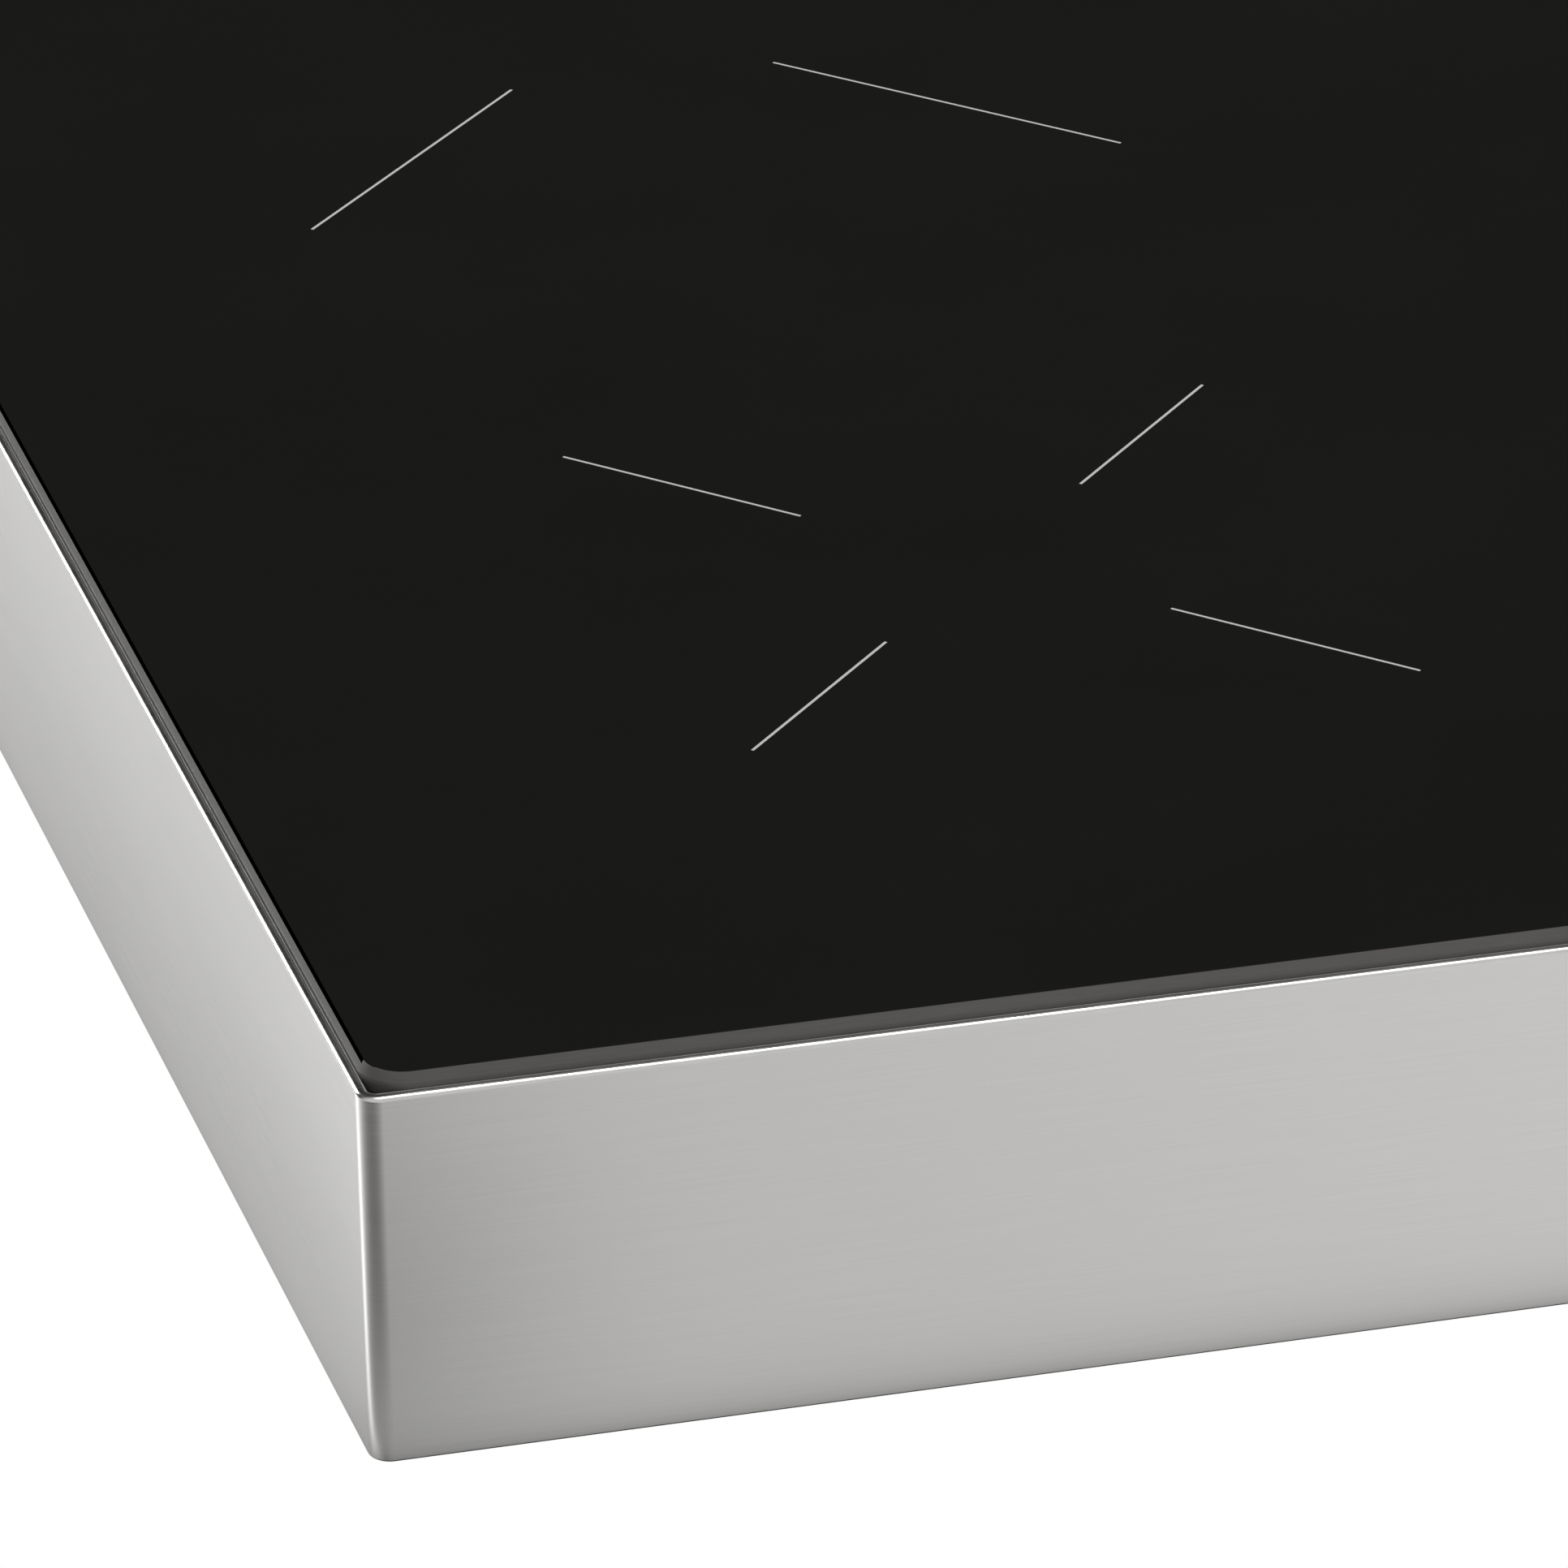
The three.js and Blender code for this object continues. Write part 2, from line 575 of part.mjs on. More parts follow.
// Ferrite bars under the carrier, joined at the middle by their hub. Three bars stand between
// two springs on a large coil and two on a small one.
function ferriteStar(zone) {
  const [x, y] = [zoneX(zone), zoneY(zone)];
  const bars = SPRINGS_PER_COIL * (zone.diameter === LARGE_ZONE ? 3 : 2);
  const reach = windingRadius(zone) - GAP;
  const z0 = FERRITE_TOP - FERRITE_THICK;
  let star = ring(x, y, FERRITE_HUB_IN, FERRITE_HUB_OUT, z0, FERRITE_TOP, 14);
  const start = (FERRITE_HUB_IN + FERRITE_HUB_OUT) / 2;
  for (let i = 0; i < bars; i += 1) {
    const bar = new THREE.BoxGeometry(reach - start, FERRITE_WIDTH, FERRITE_THICK);
    bar.translate((reach + start) / 2, 0, z0 + FERRITE_THICK / 2);
    bar.rotateZ(((i + 0.5) * 2 * Math.PI) / bars);
    star = star.add(solid(bar.translate(x, y, 0)));
  }
  return star;
}

function micaDisc(zone) {
  const outer = windingRadius(zone) + GAP + CARRIER_RIM;
  const inner = SENSOR_HEAD + SLIDE_GAP;
  const bottom = MICA_TOP - MICA_THICK;
  return ring(zoneX(zone), zoneY(zone), inner, outer, bottom, MICA_TOP, COIL_SIDES);
}

// The temperature feeler in the middle of a coil: a head against the glass, a collar that sits on
// the carrier, and a stem through it.
function glassSensor(zone) {
  const collar = CARRIER_TOP + GAP;
  const profile = [
    [0, CARRIER_BOTTOM - SENSOR_TAIL],
    [SENSOR_STEM, CARRIER_BOTTOM - SENSOR_TAIL],
    [SENSOR_STEM, collar],
    [SENSOR_COLLAR, collar],
    [SENSOR_COLLAR, collar + SENSOR_COLLAR_THICK],
    [SENSOR_HEAD, collar + SENSOR_COLLAR_THICK],
    [SENSOR_HEAD, MAT_TOP],
    [0, MAT_TOP],
  ];
  return turned(zoneX(zone), zoneY(zone), profile, 12);
}

function coilSpring([x, y]) {
  const section = new THREE.Shape();
  section.absarc(0, 0, SPRING_WIRE, 0, 2 * Math.PI);
  const rise = SPRING_LENGTH - 2 * SPRING_WIRE;
  const options = {
    steps: 7 * SPRING_TURNS,
    curveSegments: 2,
    extrudePath: new Helix(SPRING_RADIUS, rise, SPRING_TURNS),
  };
  const wire = new THREE.ExtrudeGeometry(section, options);
  return solid(wire.translate(x, y, SPRING_BOTTOM + SPRING_WIRE));
}

function addCoil(zone) {
  add(`coil_carrier_${zone.name}`, GREY_PLASTIC, coilCarrier(zone));
  add(`coil_winding_${zone.name}`, COPPER, coilWinding(zone));
  add(`ferrite_star_${zone.name}`, FERRITE, ferriteStar(zone));
  add(`mica_disc_${zone.name}`, MICA, micaDisc(zone));
  add(`glass_sensor_${zone.name}`, CERAMIC, glassSensor(zone));
  springPlaces(zone).forEach((place, i) => {
    add(`coil_spring_${zone.name}_${i + 1}`, SPRING_STEEL, coilSpring(place));
  });
}

// ---------------------------------------------------------------- power electronics

// Parts soldered to a power board, placed from the board's middle.
const POWER_PARTS = [
  { x: 62, y: -70, width: 34, length: 24, height: 15 }, // resonance capacitor
  { x: 62, y: -38, width: 34, length: 24, height: 15 }, // resonance capacitor
  { x: 62, y: 2, width: 42, length: 26, height: 14 }, // smoothing capacitor
  { x: -66, y: -66, width: 30, length: 30, height: 13 }, // input choke
  { x: -66, y: -22, width: 26, length: 20, height: 12 }, // relay
  { x: -66, y: 30, width: 32, length: 28, height: 14 }, // supply transformer
  { x: 60, y: 60, width: 20, length: 12, height: 10 }, // coil terminals
  { x: -10, y: 80, width: 40, length: 10, height: 8 }, // signal connector
];

// The height of a part that stands under the support plates and leaves them their headroom.
const underPlates = (top) => Math.min(top, HEADROOM);

function powerBoard(side) {
  const x = boardX(side);
  const y = (BOARD_FRONT + BOARD_BACK) / 2;
  let board = block(x, y, BOARD_WIDTH, BOARD_LENGTH, BOARD_BOTTOM, BOARD_TOP);
  for (const part of POWER_PARTS) {
    const top = underPlates(BOARD_TOP + part.height);
    board = board.add(block(x + part.x, y + part.y, part.width, part.length, BOARD_BOTTOM, top));
  }
  return board;
}

// An extruded heat sink with upright fins along the air stream.
function heatSink(side) {
  const bottom = BOARD_TOP + GAP;
  const pitch = (SINK_WIDTH - FIN_THICK) / (FIN_COUNT - 1);
  const comb = new THREE.Shape();
  comb.moveTo(-SINK_WIDTH / 2, bottom);
  comb.lineTo(SINK_WIDTH / 2, bottom);
  for (let i = FIN_COUNT - 1; i >= 0; i -= 1) {
    const left = -SINK_WIDTH / 2 + i * pitch;
    const right = left + FIN_THICK;
    if (i < FIN_COUNT - 1) {
      comb.lineTo(right, bottom + SINK_BASE);
    }
    comb.lineTo(right, HEADROOM);
    comb.lineTo(left, HEADROOM);
    if (i > 0) {
      comb.lineTo(left, bottom + SINK_BASE);
    }
  }
  const bar = new THREE.ExtrudeGeometry(comb, { depth: SINK_LENGTH, bevelEnabled: false });
  bar.rotateX(Math.PI / 2);
  return solid(bar.translate(boardX(side), BOARD_FRONT + SINK_FROM_FRONT + SINK_LENGTH, 0));
}

// The plan of the fan's scroll: a spiral that widens round the wheel to a straight outlet.
function scrollPlan(wall, outletEnd) {
  const start = THREE.MathUtils.degToRad(SCROLL_START);
  const inner = OUTLET_INNER - wall;
  const shape = new THREE.Shape();
  shape.moveTo(SCROLL_LARGE + wall, outletEnd);
  shape.lineTo(inner, outletEnd);
  shape.lineTo(inner, (SCROLL_SMALL + wall) * Math.sin(start));
  const steps = (360 - SCROLL_START) / SCROLL_STEP;
  for (let i = 1; i <= steps; i += 1) {
    const angle = start + (i / steps) * (2 * Math.PI - start);
    const radius = SCROLL_SMALL + wall + (i / steps) * SCROLL_GROWTH;
    shape.lineTo(radius * Math.cos(angle), radius * Math.sin(angle));
  }
  return shape;
}

// A radial blower's housing: a scroll with its inlet below and its outlet to the back, and the
// motor's boss and shaft hanging from its roof.
function fanHousing() {
  const shell = slab(scrollPlan(FAN_WALL, OUTLET_LENGTH), FAN_BOTTOM, FAN_TOP);
  const room = slab(scrollPlan(0, OUTLET_LENGTH + 1), FAN_BOTTOM + FAN_WALL, FAN_TOP - FAN_WALL);
  const inlet = disc(0, 0, INLET_RADIUS, FAN_BOTTOM - 1, FAN_BOTTOM + FAN_WALL + 1, 20);
  const bossBottom = FAN_TOP - FAN_WALL - MOTOR_HEIGHT;
  const boss = disc(0, 0, MOTOR_RADIUS, bossBottom, FAN_TOP - FAN_WALL / 2, 16);
  const shaft = disc(0, 0, SHAFT_RADIUS, FAN_BOTTOM + 2 * FAN_WALL, FAN_TOP - FAN_WALL, 12);
  return shell.subtract(room).subtract(inlet).add(boss).add(shaft);
}

// The blower's wheel: a hub on the shaft, a web under the motor, and leaning blades between the
// web and a ring.
function fanWheel() {
  const low = FAN_BOTTOM + FAN_WALL + SLIDE_GAP;
  const high = FAN_TOP - FAN_WALL - MOTOR_HEIGHT - GAP;
  const bore = SHAFT_RADIUS + GAP;
  const web = ring(0, 0, bore, WHEEL_RADIUS, high - WHEEL_RING, high, 20);
  const hub = ring(0, 0, bore, HUB_RADIUS, (low + high) / 2, high, 16);
  const rim = ring(0, 0, WHEEL_RADIUS - WHEEL_RING_WIDTH, WHEEL_RADIUS, low, low + WHEEL_RING, 20);
  let wheel = web.add(hub).add(rim);
  for (let i = 0; i < BLADE_COUNT; i += 1) {
    const blade = new THREE.BoxGeometry(BLADE_CHORD, BLADE_THICK, high - low - WHEEL_RING);
    blade.rotateZ(THREE.MathUtils.degToRad(BLADE_LEAN));
    blade.translate(WHEEL_RADIUS - WHEEL_RING_WIDTH / 2, 0, (low + high) / 2);
    wheel = wheel.add(solid(blade.rotateZ((i * 2 * Math.PI) / BLADE_COUNT)));
  }
  return wheel;
}

function addPowerSide(side) {
  add(`power_board_${side.name}`, CIRCUIT_BOARD, powerBoard(side));
  add(`heat_sink_${side.name}`, ALUMINIUM, heatSink(side));
  const place = [fanX(side), FAN_Y, 0];
  add(`fan_housing_${side.name}`, BLACK_PLASTIC, fanHousing().translate(place));
  add(`fan_wheel_${side.name}`, BLACK_PLASTIC, fanWheel().translate(place));
}

// ---------------------------------------------------------------- mains side

// The filter board behind the middle, with its two chokes and interference capacitor.
function filterBoard() {
  const y = PLATE_BACK - FILTER_LENGTH / 2;
  const board = block(0, y, FILTER_WIDTH, FILTER_LENGTH, BOARD_BOTTOM, BOARD_TOP);
  const chokeTop = underPlates(BOARD_TOP + CHOKE_HEIGHT);
  const chokes = CHOKES_X.map((x) => disc(x, y, CHOKE_RADIUS, BOARD_BOTTOM, chokeTop, 16));
  const capTop = underPlates(BOARD_TOP + FILTER_CAP_HEIGHT);
  const plan = [FILTER_CAP_X, y, FILTER_CAP_WIDTH, FILTER_CAP_LENGTH];
  return join([board, ...chokes, block(...plan, BOARD_BOTTOM, capTop)]);
}

// A body turned about the cable's axis, from [radius, distance in from the wall's face] points.
function aboutCable(profile, sides) {
  const points = profile.map(([radius, behind]) => new THREE.Vector2(radius, -behind));
  const shape = new THREE.LatheGeometry(points, sides);
  return solid(shape.translate(CABLE_X, WALL_AT_CABLE, GROMMET_Z));
}

// A rubber bushing pushed in from inside: its collar lies behind the wall and its nose fills the
// hole flush with the skirt.
function cableGrommet() {
  const behindWall = SKIRT_WALL + GAP;
  const profile = [
    [CABLE_RADIUS, behindWall + GROMMET_FLANGE_THICK],
    [GROMMET_FLANGE, behindWall + GROMMET_FLANGE_THICK],
    [GROMMET_FLANGE, behindWall],
    [GROMMET_RADIUS, behindWall],
    [GROMMET_RADIUS, 0],
    [CABLE_RADIUS, 0],
    [CABLE_RADIUS, behindWall + GROMMET_FLANGE_THICK],
  ];
  return aboutCable(profile, 16);
}

function cableClamp() {
  const top = GROMMET_Z + GROMMET_FLANGE - GAP;
  const body = block(CABLE_X, CLAMP_Y, CLAMP_WIDTH, CLAMP_LENGTH, ON_TRAY, top);
  const passage = new THREE.CylinderGeometry(CABLE_RADIUS, CABLE_RADIUS, 2 * CLAMP_LENGTH, 16);
  return body.subtract(solid(passage.translate(CABLE_X, CLAMP_Y, GROMMET_Z)));
}

// The mains terminal block: a ribbed strip with a wire well in each pole.
function terminalBlock() {
  const y = BACK - TERMINAL_FROM_BACK;
  const top = underPlates(ON_TRAY + TERMINAL_HEIGHT);
  let strip = block(CABLE_X, y, TERMINAL_WIDTH, TERMINAL_LENGTH, ON_TRAY, top);
  const pitch = TERMINAL_WIDTH / TERMINAL_POLES;
  for (let i = 0; i < TERMINAL_POLES; i += 1) {
    const x = CABLE_X + (i - (TERMINAL_POLES - 1) / 2) * pitch;
    const well = [pitch - TERMINAL_RIB, TERMINAL_LENGTH - 2 * TERMINAL_WALL];
    strip = strip.subtract(block(x, y, ...well, top - TERMINAL_WELL, top + 1));
  }
  return strip;
}

// ---------------------------------------------------------------- touch controls

// The touch board, with a sensing pad under each key and the display window behind them.
function touchBoard() {
  const top = GLASS_BOTTOM - GAP;
  let board = block(0, TOUCH_Y, TOUCH_WIDTH, TOUCH_LENGTH, TOUCH_BOTTOM, TOUCH_TOP);
  for (let i = 0; i < KEY_COUNT; i += 1) {
    const x = (i - (KEY_COUNT - 1) / 2) * KEY_PITCH;
    board = board.add(disc(x, TOUCH_Y - KEYS_FORWARD, KEY_RADIUS, TOUCH_BOTTOM, top, 8));
  }
  const y = TOUCH_Y + DISPLAY_BACKWARD;
  return board.add(block(0, y, DISPLAY_WIDTH, DISPLAY_LENGTH, TOUCH_BOTTOM, top));
}

// A plastic table that holds the touch board up under the pane, on four legs.
function touchBracket() {
  const top = TOUCH_BOTTOM - GAP;
  const dx = TOUCH_WIDTH / 2 - BRACKET_LEG_RADIUS;
  const dy = TOUCH_LENGTH / 2 - BRACKET_LEG_RADIUS;
  let bracket = block(0, TOUCH_Y, TOUCH_WIDTH, TOUCH_LENGTH, top - BRACKET_THICK, top);
  for (const x of [-dx, dx]) {
    for (const y of [TOUCH_Y - dy, TOUCH_Y + dy]) {
      bracket = bracket.add(disc(x, y, BRACKET_LEG_RADIUS, ON_TRAY, top - BRACKET_THICK / 2, 10));
    }
  }
  return bracket;
}

// ---------------------------------------------------------------- build

add("steel_frame", STAINLESS, steelFrame());
add("glass_pane", GLASS_CERAMIC, glassPane());
add("pane_seal", SILICONE, paneSeal());
add("bottom_tray", GALVANISED, bottomTray());
for (const side of SIDES) {
  add(`insulation_mat_${side.name}`, CERAMIC_FIBRE, insulationMat(side));
  add(`support_plate_${side.name}`, ALUMINIUM, supportPlate(side));
  addPowerSide(side);
}
ZONES.forEach(addCoil);
add("filter_board", CIRCUIT_BOARD, filterBoard());
add("cable_grommet", RUBBER, cableGrommet());
add("cable_clamp", GREY_PLASTIC, cableClamp());
add("terminal_block", CERAMIC, terminalBlock());
add("touch_board", CIRCUIT_BOARD, touchBoard());
add("touch_bracket", GREY_PLASTIC, touchBracket());
for (const side of SIDES) {
  for (const end of [{ name: "front", sign: -1 }, { name: "rear", sign: 1 }]) {
    const x = side.sign * (WIDTH / 2 - FOOT_INSET);
    const y = end.sign * (DEPTH / 2 - FOOT_INSET);
    add(`foot_${end.name}_${side.name}`, RUBBER, foot(x, y));
  }
}

export default cooktop;
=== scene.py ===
import math

import bmesh
import bpy
from mathutils import Matrix, Vector


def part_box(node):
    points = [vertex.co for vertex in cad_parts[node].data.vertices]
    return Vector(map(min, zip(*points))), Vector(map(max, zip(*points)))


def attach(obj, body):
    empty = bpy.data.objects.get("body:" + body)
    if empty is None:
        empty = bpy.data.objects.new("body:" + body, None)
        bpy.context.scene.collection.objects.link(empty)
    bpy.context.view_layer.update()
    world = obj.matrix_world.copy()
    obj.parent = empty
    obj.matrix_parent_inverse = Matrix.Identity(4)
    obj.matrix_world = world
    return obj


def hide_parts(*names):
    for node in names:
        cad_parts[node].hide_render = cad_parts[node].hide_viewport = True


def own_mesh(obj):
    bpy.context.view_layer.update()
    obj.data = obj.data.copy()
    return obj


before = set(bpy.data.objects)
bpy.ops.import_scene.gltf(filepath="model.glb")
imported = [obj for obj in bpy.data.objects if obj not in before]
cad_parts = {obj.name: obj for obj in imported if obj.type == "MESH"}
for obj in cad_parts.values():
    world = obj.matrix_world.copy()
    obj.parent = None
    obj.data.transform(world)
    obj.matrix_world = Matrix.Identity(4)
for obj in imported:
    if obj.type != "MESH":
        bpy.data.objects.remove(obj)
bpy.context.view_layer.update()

bl_info = {
    "name": "Induction Cooktop",
    "version": (1, 0, 0),
    "blender": (4, 5, 0),
    "location": "View3D > Sidebar > Cooktop",
    "description": "Finishes a four-zone induction cooktop round its mechanical frame",
    "category": "Object",
}

MM = 0.001
ROOT = "housing"
ZONES = ("front_left", "rear_left", "front_right", "rear_right")
SIDES = ("left", "right")
ENDS = ("front", "rear")
GAP = 0.3 * MM  # the frame leaves this much between neighbours
CARD = 1.6 * MM  # thickness of a circuit board

# ------------------------------------------------------------------ user settings


def length(name, description, default_mm):
    """A size property, shown in the scene's length unit."""
    return bpy.props.FloatProperty(
        name=name, description=description, default=default_mm * MM,
        min=0.0, unit="LENGTH", subtype="DISTANCE", precision=5)


def angle(name, description, default_degrees):
    return bpy.props.FloatProperty(
        name=name, description=description, default=math.radians(default_degrees),
        unit="ROTATION", subtype="ANGLE")


def count(name, description, default):
    return bpy.props.IntProperty(name=name, description=description, default=default, min=1)


def from_hex(code):
    """Linear RGB of an sRGB hex colour."""
    channels = [int(code[i:i + 2], 16) / 255 for i in (0, 2, 4)]
    return [c / 12.92 if c <= 0.04045 else ((c + 0.055) / 1.055) ** 2.4 for c in channels]


def colour(name, description, code):
    return bpy.props.FloatVectorProperty(
        name=name, description=description, default=from_hex(code),
        size=3, subtype="COLOR", min=0.0, max=1.0)


class SkirtSettings(bpy.types.PropertyGroup):
    """Folded steel skirt."""

    wall: length("Wall", "Sheet thickness of the skirt", 1.5)
    corner: length("Corner radius", "Outside radius of the upright corners", 3.5)
    lip: length("Lip radius", "Radius of the skirt's upper outside edge", 0.9)
    lean: length("Lean", "Each wall's lower edge in from its upper edge", 2.9)
    inner_lip: length("Inner lip radius", "Radius of the lip's inside edge", 0.22)
    foot_edge: length("Lower edge radius", "Radius of the skirt's lower outside edge", 0.45)
    ledge_width: length("Ledge width", "Width of the ledge that carries the pane", 12)
    ledge_thick: length("Ledge thickness", "Thickness of the ledge", 1.2)
    vent_width: length("Vent width", "Width of one air slot", 3)
    vent_height: length("Vent height", "Height of one air slot", 16)
    vent_pitch: length("Vent pitch", "Distance between air slots", 9)
    vent_count: count("Vents", "Air slots in each group", 10)
    steel: colour("Steel", "Colour of the brushed stainless steel", "CFCECC")


class PaneSettings(bpy.types.PropertyGroup):
    """Glass-ceramic pane and its print."""

    corner: length("Corner radius", "Radius of the pane's corners", 7)
    bevel_width: length("Bevel width", "Width of the ground bevel, seen from above", 0.8)
    bevel_height: length("Bevel height", "Height of the ground bevel", 1.6)
    arris: length("Arris", "Radius that breaks the bevel's sharp edges", 0.12)
    mark_width: length("Mark width", "Width of a printed line", 0.5)
    mark_start: length("Mark start", "Distance from a zone's centre to the start of a mark", 34.6)
    small_zone: length("Small zone", "Diameter of the small cooking zones", 160)
    large_zone: length("Large zone", "Diameter of the large cooking zones", 210)
    ceramic: colour("Glass-ceramic", "Colour of the pane", "191917")
    ground: colour("Ground edge", "Colour of the ground bevel", "484644")
    print_colour: colour("Print", "Colour of the printed marks", "C9C9C6")


class CoilSettings(bpy.types.PropertyGroup):
    """Induction coils."""

    wire: length("Litz diameter", "Diameter of the litz wire", 3.1)
    hole: length("Winding hole", "Radius of the winding's hole", 21)
    spring_radius: length("Spring radius", "Radius of a spring, to its wire's middle", 5)
    spring_wire: length("Spring wire", "Radius of a spring's wire", 0.6)
    spring_turns: count("Spring turns", "Turns of a spring", 5)
    ferrite_width: length("Ferrite width", "Width of a ferrite bar", 13)
    copper: colour("Litz", "Colour of the enamelled copper", "B0683C")


class PowerSettings(bpy.types.PropertyGroup):
    """Fans and power boards."""

    blades: count("Blades", "Blades of a blower wheel", 37)
    blade_chord: length("Blade chord", "Length of a blade across the air", 7.6)
    blade_thick: length("Blade thickness", "Thickness of a blade", 0.7)
    blade_lean: angle("Blade lean", "Lean of the blades from the radius", 38)
    fins: count("Fins", "Fins of a heat sink", 15)
    fin_thick: length("Fin thickness", "Thickness of a fin", 1.1)
    board_green: colour("Solder mask", "Colour of the circuit boards", "1D5A33")


class StageSettings(bpy.types.PropertyGroup):
    """Camera, floor and light."""

    lens: length("Focal length", "Focal length on a 36 mm sensor", 278.7)
    azimuth: angle("Azimuth", "Camera's bearing, negative to the left", -16.915)
    elevation: angle("Elevation", "Camera's angle above the horizon", 26.953)
    roll: angle("Roll", "Camera's roll", 0.986)
    place: bpy.props.FloatVectorProperty(
        name="Camera place", description="Where the camera stands",
        default=(-0.7105, -1.8282, 0.9474), size=3, unit="LENGTH", subtype="TRANSLATION")


SETTINGS = {
    "cooktop_skirt": SkirtSettings,
    "cooktop_pane": PaneSettings,
    "cooktop_coils": CoilSettings,
    "cooktop_power": PowerSettings,
    "cooktop_stage": StageSettings,
}

# ------------------------------------------------------------------ nodes


class Value:
    """A node's output. Sums of values add Math nodes to its tree."""

    def __init__(self, tree, socket):
        self.tree, self.socket = tree, socket

    def math(self, operation, other=0.0, swap=False):
        a, b = (other, self) if swap else (self, other)
        return node(self.tree, "ShaderNodeMath", {0: a, 1: b}, operation=operation)

    def __add__(self, other):
        return self.math("ADD", other)

    def __sub__(self, other):
        return self.math("SUBTRACT", other)

    def __rsub__(self, other):
        return self.math("SUBTRACT", other, True)

    def __mul__(self, other):
        return self.math("MULTIPLY", other)

    def __truediv__(self, other):
        return self.math("DIVIDE", other)

    def __rtruediv__(self, other):
        return self.math("DIVIDE", other, True)


def node(tree, kind, links=None, out=0, **settings):
    """Adds a node and gives one output. links gives each input a number or another output."""
    made = tree.nodes.new(kind)
    for name, value in settings.items():
        setattr(made, name, value)
    for key, value in (links or {}).items():
        if isinstance(value, Value):
            tree.links.new(value.socket, made.inputs[key])
        else:
            made.inputs[key].default_value = value
    return Value(tree, made.outputs[out]) if made.outputs else None


def axes_of(vector):
    """The three components of a vector."""
    x = node(vector.tree, "ShaderNodeSeparateXYZ", {"Vector": vector})
    return [Value(x.tree, socket) for socket in x.socket.node.outputs]


def place_of(tree):
    """A piece's own coordinates."""
    return node(tree, "ShaderNodeTexCoord", out="Object")


# ------------------------------------------------------------------ materials


def new_material(name, base, metallic=0.0, roughness=0.5, **values):
    """A material with one Principled shader; no tree and shader if it exists already."""
    found = bpy.data.materials.get(name)
    if found:
        return found, None, None
    material = bpy.data.materials.new(name)
    material.use_nodes = True
    shader = material.node_tree.nodes["Principled BSDF"]
    shader.inputs["Base Color"].default_value = (*base, 1)
    shader.inputs["Metallic"].default_value = metallic
    shader.inputs["Roughness"].default_value = roughness
    for key, value in values.items():
        shader.inputs[key].default_value = value
    return material, material.node_tree, shader


def drive(shader, name, value):
    """Links a value to an input of the shader."""
    value.tree.links.new(value.socket, shader.inputs[name])


def pattern(tree, size_mm, stretch=(1, 1, 1), detail=3.0):
    """Noise on the piece's own coordinates, with features about size_mm across."""
    mapping = node(tree, "ShaderNodeMapping", {"Vector": place_of(tree), "Scale": stretch})
    return node(tree, "ShaderNodeTexNoise", {
        "Vector": mapping, "Scale": 1 / (size_mm * MM), "Detail": detail, "Roughness": 0.55},
        "Fac")


def shift(factor, low, high):
    """A factor spread between two values."""
    return node(factor.tree, "ShaderNodeMapRange", {
        "Value": factor, "From Min": 0.3, "From Max": 0.7, "To Min": low, "To Max": high})


def tint(shader, factor, tone, dark, light):
    """Base colour between a darker and a lighter share of a tone, by a factor."""
    mix = node(factor.tree, "ShaderNodeMix", {"Factor": factor}, data_type="RGBA").socket.node
    ends = [i for i in mix.inputs if i.type == "RGBA"]
    for end, share in zip(ends, (dark, light)):
        end.default_value = (*[min(1.0, c * share) for c in tone], 1)
    drive(shader, "Base Color", Value(
        factor.tree, [o for o in mix.outputs if o.type == "RGBA"][0]))


def relief(shader, factor, depth_mm, strength=1.0):
    drive(shader, "Normal", node(factor.tree, "ShaderNodeBump", {
        "Height": factor, "Distance": depth_mm * MM, "Strength": strength}))


def brushed_stainless():
    """Stainless steel, grit-brushed along the sheet: long horizontal hairlines that spread the
    reflections up and down, and a soft satin sheen."""
    tone = bpy.context.scene.cooktop_skirt.steel
    material, tree, shader = new_material("stainless_steel_brushed", tone, 1.0, 0.3)
    if tree:
        # Hairlines are about 0.1 mm apart; they are drawn 0.35 mm apart so that they show.
        grain = pattern(tree, 0.35, (0.012, 0.012, 1), 2)
        cloud = pattern(tree, 90, (0.4, 0.4, 1), 1)
        tint(shader, shift(grain, 0, 1), tone, 0.975, 1.02)
        drive(shader, "Roughness", shift(grain, -0.02, 0.02) + shift(cloud, 0.29, 0.34))
        shader.inputs["Anisotropic"].default_value = 0.8
        drive(shader, "Tangent", xyz(tree, 0.01, 0.005, 1.0))
        relief(shader, grain, 0.004, 0.2)
    return material


def bent_stainless():
    """The same steel on the folded lip, where bending has polished the grain."""
    tone = bpy.context.scene.cooktop_skirt.steel
    material, tree, shader = new_material("stainless_steel_bent_edge", tone, 1.0, 0.24)
    if tree:
        wear = pattern(tree, 6)
        drive(shader, "Roughness", shift(wear, 0.25, 0.33))
        tint(shader, shift(wear, 0, 1), tone, 0.97, 1.03)
    return material


def black_glass_ceramic():
    """Tinted glass-ceramic: near black in the mass, fire-polished, with a faint haze of use."""
    tone = bpy.context.scene.cooktop_pane.ceramic
    material, tree, shader = new_material("glass_ceramic_black", tone, 0.0, 0.06, IOR=1.52)
    if tree:
        haze = pattern(tree, 60, detail=4)
        tint(shader, shift(haze, 0, 1), tone, 0.95, 1.06)
        fine = pattern(tree, 1.2, detail=2)
        drive(shader, "Roughness", shift(haze, 0.05, 0.08) + shift(fine, -0.01, 0.01))
    return material


